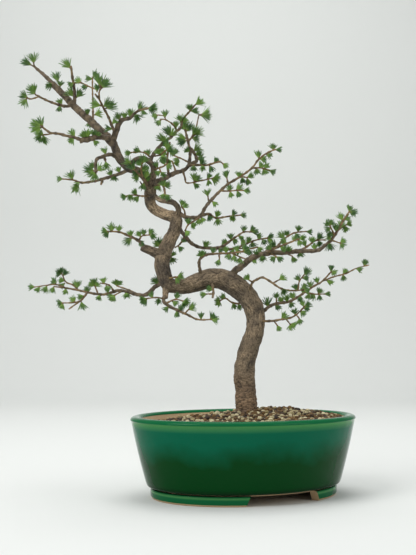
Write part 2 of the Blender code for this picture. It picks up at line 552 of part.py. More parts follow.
def lengthened(points, more):
    """The (place, radius) pairs with both ends moved out."""
    first = points[0][0] + (points[0][0] - points[1][0]).normalized() * more
    last = points[-1][0] + (points[-1][0] - points[-2][0]).normalized() * more
    return [(first, points[0][1]), *points[1:-1], (last, points[-1][1])]


def tube(name, points, sides_more, collection, grown=0.0):
    """A closed limb through (place, radius) pairs. grown thickens it."""
    curve = bpy.data.curves.new(name, "CURVE")
    curve.dimensions = "3D"
    curve.bevel_depth = 1.0
    curve.bevel_resolution = sides_more
    curve.use_fill_caps = True
    spline = curve.splines.new("POLY")
    spline.points.add(len(points) - 1)
    if grown:
        points = lengthened(points, 2 * grown)
    for point, (place, radius) in zip(spline.points, points):
        point.co = (*place, 1)
        point.radius = radius + grown
    limb = bpy.data.objects.new(name, curve)
    collection.objects.link(limb)
    limb = evaluated_copy(limb, name, collection)
    bm = bmesh.new()
    bm.from_mesh(limb.data)
    bmesh.ops.remove_doubles(bm, verts=bm.verts, dist=0.01 * MM)
    bmesh.ops.recalc_face_normals(bm, faces=bm.faces)
    bm.to_mesh(limb.data)
    bm.free()
    return limb


def limb_points(limb):
    """(place, radius) pairs of a limb's route, its radius falling evenly from first to last."""
    route, first, last = limb
    count = len(route) - 1
    return [
        (seen(*point), (first + (last - first) * k / count) * MM) for k, point in enumerate(route)
    ]


def joined(name, pieces, collection, cutter=None):
    """One object of the pieces' union, cut back from the cutter."""
    first, rest = pieces[0], pieces[1:]
    if rest:
        loose = new_collection(name + "_pieces")
        for piece in rest:
            collection.objects.unlink(piece)
            loose.objects.link(piece)
        union = first.modifiers.new("union", "BOOLEAN")
        union.operation = "UNION"
        union.operand_type = "COLLECTION"
        union.collection = loose
        union.solver = "MANIFOLD"
    if cutter:
        cut = first.modifiers.new("cut", "BOOLEAN")
        cut.operation = "DIFFERENCE"
        cut.object = cutter
        cut.solver = "MANIFOLD"
    made = evaluated_copy(first, name, collection)
    if rest:
        for piece in rest:
            bpy.data.objects.remove(piece)
        bpy.data.collections.remove(loose)
    keep_largest_body(made)
    return made


def plan_point(share, angle):
    """A point of the pot's oval plan, its half sizes this share of the rim's."""
    x, y = share * RIM_HALF[0] * math.cos(angle), share * RIM_HALF[1] * math.sin(angle)
    return (
        x * math.cos(POT_TURN) - y * math.sin(POT_TURN),
        x * math.sin(POT_TURN) + y * math.cos(POT_TURN),
    )


def oval_rings(profile, steps=PLAN_STEPS):
    """A closed turned body through (share, height) rings of the pot's plan, with both ends filled."""
    bm = bmesh.new()
    around = [math.tau * k / steps for k in range(steps)]
    rings = [[bm.verts.new((*plan_point(share, a), height)) for a in around] for share, height in profile]
    for low, high in zip(rings, rings[1:]):
        for k in range(steps):
            n = (k + 1) % steps
            bm.faces.new((low[k], low[n], high[n], high[k]))
    bm.faces.new(rings[0])
    bm.faces.new(rings[-1])
    bmesh.ops.recalc_face_normals(bm, faces=bm.faces)
    return bm


def oval_arc(section, steps, start, sweep):
    """A closed piece of a band whose (share, height) section follows the pot's plan part of the way."""
    bm = bmesh.new()
    rows = [
        [bm.verts.new((*plan_point(share, start + sweep * k / steps), height)) for share, height in section]
        for k in range(steps + 1)
    ]
    for near, far in zip(rows, rows[1:]):
        for k in range(len(section)):
            n = (k + 1) % len(section)
            bm.faces.new((near[k], near[n], far[n], far[k]))
    bm.faces.new(rows[0])
    bm.faces.new(rows[-1])
    bmesh.ops.recalc_face_normals(bm, faces=bm.faces)
    return bm


def wall_share(height):
    """The outer wall's plan at a height, as a share of the rim's. It bellies a little."""
    t = (height - FOOT_HEIGHT) / (POT_HEIGHT - FOOT_HEIGHT)
    return SHARE_AT_BASE + (1 - SHARE_AT_BASE) * (t + BELLY * math.sin(math.pi * t))


def inner_share(height):
    """The inside, which is straight from the haunch up to just under the lip."""
    low, high = FOOT_HEIGHT + FLOOR + HAUNCH, POT_HEIGHT - 2 * LIP
    t = (height - low) / (high - low)
    return wall_share(low) + (wall_share(high) - wall_share(low)) * t - WALL / RIM_HALF[1]


def make_pot(collection, glaze):
    """The body, closed at the floor, with a foot band in two arcs and two drain holes."""
    floor_top = FOOT_HEIGHT + FLOOR
    outer = [WALL_FOOT + (POT_HEIGHT - 2.5 * MM - WALL_FOOT) * k / 5 for k in range(6)]
    lip = LIP / RIM_HALF[1]
    rim = wall_share(POT_HEIGHT)
    profile = [
        (SHARE_OF_GROOVE - 0.028, FOOT_HEIGHT), (SHARE_OF_GROOVE, FOOT_HEIGHT + 1.5 * MM),
        (SHARE_OF_GROOVE, WALL_FOOT - 2 * MM), (wall_share(WALL_FOOT) - 0.02, WALL_FOOT - 1.5 * MM),
    ]
    profile += [(wall_share(z), z) for z in outer]
    profile += [
        (rim + 0.3 * lip, POT_HEIGHT - 1.2 * MM), (rim - 0.8 * lip, POT_HEIGHT),
        (rim - WALL / RIM_HALF[1] + lip, POT_HEIGHT), (rim - WALL / RIM_HALF[1] - lip, POT_HEIGHT - LIP),
        (inner_share(POT_HEIGHT - 2 * LIP), POT_HEIGHT - 2 * LIP),
        (inner_share(floor_top + HAUNCH), floor_top + HAUNCH),
        (inner_share(floor_top) - 0.03, floor_top),
    ]
    bm = oval_rings(profile)
    body = mesh_object("pot", bm, collection)
    tools = new_collection("pot_tools")
    foot_pieces = []
    inner_foot = SHARE_OF_FOOT - FOOT_THICK / RIM_HALF[1]
    for side in (0, 1):
        start = -math.pi / 2 + WINDOW_HALF + side * math.pi
        foot = oval_arc(
            [(SHARE_OF_FOOT - 0.012, 0.0), (SHARE_OF_FOOT + 0.004, 3 * MM), (SHARE_OF_FOOT, FOOT_HEIGHT + MM),
             (inner_foot, FOOT_HEIGHT + MM), (inner_foot, 0.0)],
            14, start, math.pi - 2 * WINDOW_HALF,
        )
        foot_pieces.append(mesh_object(f"foot_{side}", foot, collection))
    holes = []
    for side in (-1, 1):
        hole = bmesh.new()
        x, y = side * DRAIN_APART / 2 * math.cos(POT_TURN), side * DRAIN_APART / 2 * math.sin(POT_TURN)
        bmesh.ops.create_cone(
            hole, cap_ends=True, segments=16, radius1=DRAIN_RADIUS, radius2=DRAIN_RADIUS,
            depth=4 * FLOOR, matrix=Matrix.Translation((x, y, FOOT_HEIGHT + FLOOR / 2)),
        )
        holes.append(mesh_object(f"drain_{side}", hole, tools))
    for n, hole in enumerate(holes):
        cut = body.modifiers.new(f"drain_{n}", "BOOLEAN")
        cut.operation = "DIFFERENCE"
        cut.object = hole
    body = evaluated_copy(body, "pot_body", collection)
    for hole in holes:
        bpy.data.objects.remove(hole)
    bpy.data.collections.remove(tools)
    pot = joined("pot", [body, *foot_pieces], collection)
    pot.data.transform(Matrix.Translation(WHOLE_TO_POT))
    pot.data.materials.append(glaze)
    pot.data.shade_smooth()
    pot.data.set_sharp_from_angle(angle=math.radians(35))


def make_screens(collection, plastic):
    """The mesh squares that keep the soil in over the drain holes."""
    bottom = FOOT_HEIGHT + FLOOR + CLEAR
    for side, where in ((-1, "left"), (1, "right")):
        bm = bmesh.new()
        pitch = SCREEN_SIZE / SCREEN_ROWS
        rail = (pitch - SCREEN_HOLE) / 2
        stops = [-SCREEN_SIZE / 2]
        for k in range(SCREEN_ROWS):
            low = -SCREEN_SIZE / 2 + k * pitch
            stops += [low + rail, low + pitch - rail]
        stops.append(SCREEN_SIZE / 2)
        grid = {(i, j): bm.verts.new((x, y, 0)) for i, x in enumerate(stops) for j, y in enumerate(stops)}
        last = len(stops) - 1
        for i in range(last):
            for j in range(last):
                if i % 2 and j % 2:
                    continue
                bm.faces.new((grid[i, j], grid[i + 1, j], grid[i + 1, j + 1], grid[i, j + 1]))
        turn = Matrix.Rotation(POT_TURN, 4, "Z")
        place = turn @ Vector((side * DRAIN_APART / 2, 0, 0))
        up = bmesh.ops.extrude_face_region(bm, geom=bm.faces[:])
        raised = [v for v in up["geom"] if isinstance(v, bmesh.types.BMVert)]
        bmesh.ops.translate(bm, verts=raised, vec=(0, 0, SCREEN_THICK))
        bmesh.ops.recalc_face_normals(bm, faces=bm.faces)
        bmesh.ops.transform(
            bm, verts=bm.verts,
            matrix=Matrix.Translation(WHOLE_TO_POT + place + Vector((0, 0, bottom))) @ turn,
        )
        mesh_object(f"drain_screen_{where}", bm, collection).data.materials.append(plastic)


def soil_height(share, angle):
    """The soil's surface: low at the wall, heaped at the trunk and to the right, with its grains."""
    rightward = math.cos(angle + POT_TURN)
    heap = (1 - share**2) * SOIL_MOUND * (0.75 + 0.25 * rightward) + share * SOIL_TILT * rightward
    grains = math.sin(37 * share + 3 * math.sin(7 * angle)) * math.sin(11 * angle + 23 * share)
    return POT_HEIGHT - SOIL_EDGE + heap + GRAIN_RELIEF * grains * min(1, 4 * (1 - share))


def make_soil(collection, earth, trunk_cutter):
    """The soil fills the pot to just under the rim, clear of its wall, with a plain hole for the trunk."""
    bottom = FOOT_HEIGHT + FLOOR + SCREEN_THICK + 3 * CLEAR
    low_share = inner_share(bottom) - 0.032
    mid = FOOT_HEIGHT + FLOOR + HAUNCH
    bm = bmesh.new()
    around = [math.tau * k / PLAN_STEPS for k in range(PLAN_STEPS)]
    rings = []
    for share, height in ((low_share, bottom), (inner_share(mid) - 0.006, mid)):
        rings.append([bm.verts.new((*plan_point(share, angle), height)) for angle in around])
    edges = [soil_height(1, angle) for angle in around]
    rings.append([
        bm.verts.new((*plan_point(inner_share(edge) - 0.006, angle), edge)) for edge, angle in zip(edges, around)
    ])
    edge_share = inner_share(POT_HEIGHT - SOIL_EDGE) - 0.006
    for n in range(1, SOIL_RINGS):
        share = 1 - n / SOIL_RINGS
        row = []
        for k in range(PLAN_STEPS):
            angle = 2 * math.pi * (k + 0.5 * (n % 2)) / PLAN_STEPS
            row.append(bm.verts.new((*plan_point(edge_share * share, angle), soil_height(share, angle))))
        rings.append(row)
    for low, high in zip(rings, rings[1:]):
        for k in range(PLAN_STEPS):
            n = (k + 1) % PLAN_STEPS
            bm.faces.new((low[k], low[n], high[k]))
            bm.faces.new((low[n], high[n], high[k]))
    bm.faces.new(rings[0])
    bm.faces.new(rings[-1])
    bmesh.ops.triangulate(bm, faces=[f for f in bm.faces if len(f.verts) > 3])
    bmesh.ops.recalc_face_normals(bm, faces=bm.faces)
    bmesh.ops.translate(bm, verts=bm.verts, vec=WHOLE_TO_POT)
    soil = mesh_object("soil_mass", bm, collection)
    soil = joined("soil", [soil], collection, trunk_cutter)
    soil.data.materials.append(earth)


def trunk_pieces(collection, grown):
    trunk = smooth_route([(seen(x, y, d), r * MM) for x, y, d, r in TRUNK], 11 * MM)
    pieces = [tube("trunk_main", trunk, 3, collection, grown)]
    for n, limb in enumerate(BARE_LIMBS):
        pieces.append(tube(f"bare_limb_{n}", smooth_route(limb_points(limb), 8 * MM), 1, collection, grown))
    return pieces


def tuft_reach(root, aim):
    return min(TUFT_REACH[1], max(TUFT_REACH[0], (aim - root).length))


def make_tuft(name, root, aim, turn, collection):
    """A bud on a pointed spur, each upper side of it drawn out into one three-sided needle."""
    reach = tuft_reach(root, aim)
    rise = max(BUD_RISE, reach - NEEDLE_REACH)
    bm = bmesh.new()
    foot = bm.verts.new((0, 0, 0))
    head = bm.verts.new((0, 0, rise + BUD_LENGTH))
    around = [math.tau * k / NEEDLES_ROUND for k in range(NEEDLES_ROUND)]
    ring = [bm.verts.new((BUD_RADIUS * math.cos(a), BUD_RADIUS * math.sin(a), rise)) for a in around]
    for near, far in zip(ring, ring[1:] + ring[:1]):
        middle = (near.co + far.co + head.co) / 3
        out = Vector((middle.x, middle.y, 0)).normalized() * NEEDLE_SPREAD + Vector((0, 0, 1))
        tip = bm.verts.new(middle + out * (reach - middle.z))
        bm.faces.new((near, foot, far))
        for a, b in ((near, far), (far, head), (head, near)):
            bm.faces.new((a, b, tip))
    bmesh.ops.recalc_face_normals(bm, faces=bm.faces)
    way = (aim - root).normalized()
    stand = way.to_track_quat("Z", "Y").to_matrix().to_4x4()
    place = Matrix.Translation(root) @ stand @ Matrix.Rotation(turn, 4, "Z")
    bmesh.ops.transform(bm, matrix=place, verts=bm.verts)
    return mesh_object(name, bm, collection)


def nearest_on(limbs, x, y):
    """(behind, radius in mm) of the point of the limbs that is sighted nearest to (x, y)."""
    best = (1e9, 0, 1)
    for route, first, last in limbs:
        for k, (a, b) in enumerate(zip(route, route[1:])):
            along = ((x - a[0]) * (b[0] - a[0]) + (y - a[1]) * (b[1] - a[1]))
            t = min(1, max(0, along / ((b[0] - a[0]) ** 2 + (b[1] - a[1]) ** 2)))
            off = math.hypot(x - a[0] - t * (b[0] - a[0]), y - a[1] - t * (b[1] - a[1]))
            radius = first + (last - first) * (k + t) / (len(route) - 1)
            best = min(best, (off, a[2] + t * (b[2] - a[2]), radius))
    return best[1:]


def tuft_places(name, spray):
    """(root, aim, turn) of each tuft of a spray. A tuft leans to the eye or away by a seeded draw."""
    draw = random.Random(name)
    for x0, y0, x1, y1 in spray["tufts"]:
        behind, _ = nearest_on(spray["limbs"], x0, y0)
        lean = draw.uniform(-6, 6)
        yield seen(x0, y0, behind), seen(x1, y1, behind + lean), draw.uniform(0, math.tau)


def tuft_room(root, aim):
    """(middle, radius) of the ball that a tuft's needles about fill."""
    reach = tuft_reach(root, aim)
    return root + (aim - root).normalized() * 0.5 * reach, 0.56 * reach


def clashes(middle, radius, others):
    """Whether a tuft would reach into the room that another spray takes."""
    return any((middle - place).length < radius + room for place, room in others)


def make_sprays(collection, bark, trunk_cutter):
    taken = {}
    for name, spray in SPRAYS.items():
        taken[name] = []
        for limb in spray["limbs"]:
            taken[name] += [(p, r + 0.5 * MM) for p, r in smooth_route(limb_points(limb), 4 * MM)]
    for name, spray in SPRAYS.items():
        pieces = []
        for n, limb in enumerate(spray["limbs"]):
            points = limb_points(limb)
            thick = points[0][1] > 2.2 * MM
            if thick:
                points = smooth_route(points, 16 * MM)
            pieces.append(tube(f"{name}_limb_{n}", points, 1 if thick else 0, collection))
        others = [room for other, rooms in taken.items() if other != name for room in rooms]
        for n, (root, aim, turn) in enumerate(tuft_places(name, spray)):
            room = tuft_room(root, aim)
            if clashes(*room, others):
                print(name, "leaves out tuft", n, "which would cross another spray")
                continue
            pieces.append(make_tuft(f"{name}_tuft_{n}", root, aim, turn, collection))
            taken[name].append(room)
        made = joined(name, pieces, collection, trunk_cutter)
        made.data.materials.append(bark)


def main():
    clear_scene()
    tree = new_collection("larch_bonsai")
    guides = new_collection("guides")
    bark = material("larch_bark", (0.16, 0.105, 0.07), 0.85)
    needles = material("larch_needles", (0.09, 0.25, 0.05), 0.6)
    glaze = material("green_glaze", (0.005, 0.17, 0.075), 0.12)
    earth = material("grit_soil", (0.23, 0.16, 0.10), 0.9)
    plastic = material("screen_plastic", (0.03, 0.03, 0.03), 0.5)

    cutter = joined("trunk_room", trunk_pieces(guides, 1.5 * CLEAR), guides)
    cutter.hide_render = True
    cutter.display_type = "WIRE"
    trunk = joined("trunk", trunk_pieces(tree, 0.0), tree)
    trunk.data.materials.append(bark)
    trunk.data.shade_smooth()
    make_sprays(tree, needles, cutter)
    make_soil(tree, earth, cutter)
    make_pot(tree, glaze)
    make_screens(tree, plastic)


main()
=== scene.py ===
# %% [markdown]
# # A larch bonsai in a green glazed pot
#
# A larch about half a metre tall grows from an oval pot: a bare trunk that bends twice, fine
# twigs, and needles that stand in small brushes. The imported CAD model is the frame. It says where
# each piece is and how large, and every piece made here stands for one of its nodes or rests on
# one. The look comes from four things: bark with real relief, needles modelled one by one, a soil
# of loose grains, and a deep glossy glaze.

# %% Load the frame
import math
import random

import bmesh
import bpy
import numpy as np
from mathutils import Matrix, Vector, kdtree, noise


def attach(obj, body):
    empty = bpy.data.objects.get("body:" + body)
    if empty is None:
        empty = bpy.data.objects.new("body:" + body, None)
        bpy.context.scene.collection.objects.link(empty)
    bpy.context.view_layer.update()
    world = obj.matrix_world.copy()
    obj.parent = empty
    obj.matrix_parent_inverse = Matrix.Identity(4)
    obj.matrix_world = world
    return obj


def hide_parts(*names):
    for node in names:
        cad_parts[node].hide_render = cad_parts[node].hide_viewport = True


MM = 0.001
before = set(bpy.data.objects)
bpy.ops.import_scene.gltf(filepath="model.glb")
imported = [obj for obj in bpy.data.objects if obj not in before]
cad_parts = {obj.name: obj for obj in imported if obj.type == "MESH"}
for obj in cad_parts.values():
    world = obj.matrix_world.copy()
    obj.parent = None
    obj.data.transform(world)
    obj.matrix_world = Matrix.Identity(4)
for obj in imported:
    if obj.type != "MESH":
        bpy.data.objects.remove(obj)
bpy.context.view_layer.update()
print("nodes in the frame:", len(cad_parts))

# %% [markdown]
# ## The eye
#
# A tree has no drawing, so its limbs are sighted: each point is where the eye sees it, with how
# far it stands behind the trunk. The camera stands at the same eye, which keeps the outline of
# the tree and the picture of it together. The numbers are the CAD model's own.

# %% The camera at the eye
EYE_AWAY = 1216 * MM
EYE_UP = 178.7 * MM
EYE_LEFT = 44.0 * MM
EYE_TILT = math.radians(3.8)
SIGHT_SIZE = (416, 555)
SIGHT_MIDDLE = (SIGHT_SIZE[0] / 2, SIGHT_SIZE[1] / 2)
SIGHT_LENGTH = 1006
FILM = 36                   # millimetres, along the picture's longer side
POT_MIDDLE = Vector((58.5 * MM, 0, 0))


def seen(x, y, behind):
    """The place that the eye sees at (x, y), this many millimetres behind the trunk's plane."""
    right = (x - SIGHT_MIDDLE[0]) / SIGHT_LENGTH
    up = (SIGHT_MIDDLE[1] - y) / SIGHT_LENGTH
    reach = (EYE_AWAY + behind * MM) / (math.cos(EYE_TILT) - up * math.sin(EYE_TILT))
    height = EYE_UP + reach * (math.sin(EYE_TILT) + up * math.cos(EYE_TILT))
    return POT_MIDDLE + Vector((reach * right - EYE_LEFT, behind * MM, height))


camera = bpy.data.objects.new("eye", bpy.data.cameras.new("eye"))
camera.data.lens = FILM * SIGHT_LENGTH / SIGHT_SIZE[1]
camera.data.clip_end = 20
camera.location = POT_MIDDLE + Vector((-EYE_LEFT, -EYE_AWAY, EYE_UP))
camera.rotation_euler = (math.pi / 2 + EYE_TILT, 0, 0)
bpy.context.scene.collection.objects.link(camera)
bpy.context.scene.camera = camera
print("lens:", round(camera.data.lens, 1), "mm, pot's front at", round(camera.location.y, 3), "m")

# %% [markdown]
# ## Colours and nodes
#
# Paint and plant colours are easiest to read as the hex values of a screen. A shader works in
# linear light, so one function turns the first into the second. Another adds a shader node with
# its settings and links, which keeps each material to a few lines that follow the real surface.


# %% Colour and node helpers
def linear(hex_colour):
    """An sRGB hex colour as linear red, green, blue and alpha."""
    parts = [int(hex_colour[k : k + 2], 16) / 255 for k in (0, 2, 4)]
    return (*[c / 12.92 if c <= 0.04045 else ((c + 0.055) / 1.055) ** 2.4 for c in parts], 1)


def add_node(tree, kind, sockets=None, **settings):
    """Adds a node with these settings. A socket takes a value, or a link from another node's output."""
    node = tree.nodes.new(kind)
    for name, value in settings.items():
        setattr(node, name, value)
    for socket, value in (sockets or {}).items():
        if isinstance(value, bpy.types.NodeSocket):
            tree.links.new(value, node.inputs[socket])
        else:
            node.inputs[socket].default_value = value
    return node


def new_material(name, roughness, ior=1.5):
    """A material with its tree and its shader, whose plain numbers sit on the shader's own sockets."""
    made = bpy.data.materials.new(name)
    made.use_nodes = True
    shader = made.node_tree.nodes["Principled BSDF"]
    shader.inputs["Roughness"].default_value = roughness
    shader.inputs["IOR"].default_value = ior
    return made, made.node_tree, shader


print("mid green in linear light:", [round(c, 3) for c in linear("4a7a3a")[:3]])

# %% [markdown]
# ## The tree's bones
#
# The skeleton is the longest list in the file, and it is the same as the CAD model's. Each limb
# is a few points with a depth, and each tuft is a root on a limb and the point that its needles
# reach. Writing it limb by limb is how the wandering habit of a larch is kept: a branching
# formula gives a tidy tree, and a bonsai is never that.

# %% Trunk and bare limbs: (x, y, behind in mm, radius in mm)
TRUNK = [
    (246, 424, 0, 13.4), (246.3, 411, 0, 13.2), (246, 400, 0, 12.9), (245.2, 388, 0, 12.6),
    (244, 375, 0, 12.7), (245, 364, 0, 12.4), (248, 352, 0, 12.2), (252, 340, 0, 11.8),
    (255.3, 328, 0, 11.3), (255.4, 314, 1, 11.6), (250.4, 301.2, 2, 12.4), (243.6, 292.4, 4, 13.1),
    (232.6, 284, 5, 13.4), (221, 279, 5, 12.8), (209, 278.4, 4, 12.2), (197, 282.8, 2, 11.0),
    (186, 286, 0, 9.8), (176, 286.5, -2, 9.0), (168, 284, -4, 9.0), (164.5, 275, -5, 9.0),
    (161.8, 263, -4, 9.2), (164.8, 251, -2, 8.8), (170.1, 240, 0, 8.7), (174.8, 229, 2, 8.0),
    (175.4, 218.8, 4, 7.8), (166.3, 214.8, 6, 6.8), (156.8, 210.8, 8, 6.8), (150.4, 203.8, 8, 6.8),
    (150.2, 193, 6, 7.6), (150.5, 184, 4, 7.4), (145, 176, 2, 6.0), (137, 171, 1, 5.2),
    (128, 168, 0, 4.9), (120.5, 160, 0, 5.1), (116, 150, 0, 5.2), (113, 142, 0, 4.7),
]

# %% Bare limbs: (route, first radius, last radius)
BARE_LIMBS = [
    ([(151, 184, -2), (153.5, 174, -6), (153, 166, -9), (147, 160, -11), (140, 158.5, -11),
      (134, 161, -8), (130, 167, -2)], 4.4, 3.0),
    ([(176.5, 217, 4), (178.5, 209, -2), (174, 203, -5), (167, 201, -6), (159, 199.5, -3),
      (152, 193, 4)], 3.9, 3.0),
    ([(146, 191, 0), (142, 184.5, -4), (139.6, 181, -6)], 1.6, 0.9),
    ([(164, 255.5, -3), (156, 253.2, -5), (147, 249.2, -8), (141, 247.2, -9)], 6.8, 4.4),
    ([(166, 286, -5), (165.5, 293, -7), (165.5, 298.5, -9)], 4.6, 3.0),
    ([(234, 279, 4), (236, 270.5, 2), (243.5, 270, 0)], 2.2, 0.9),
]

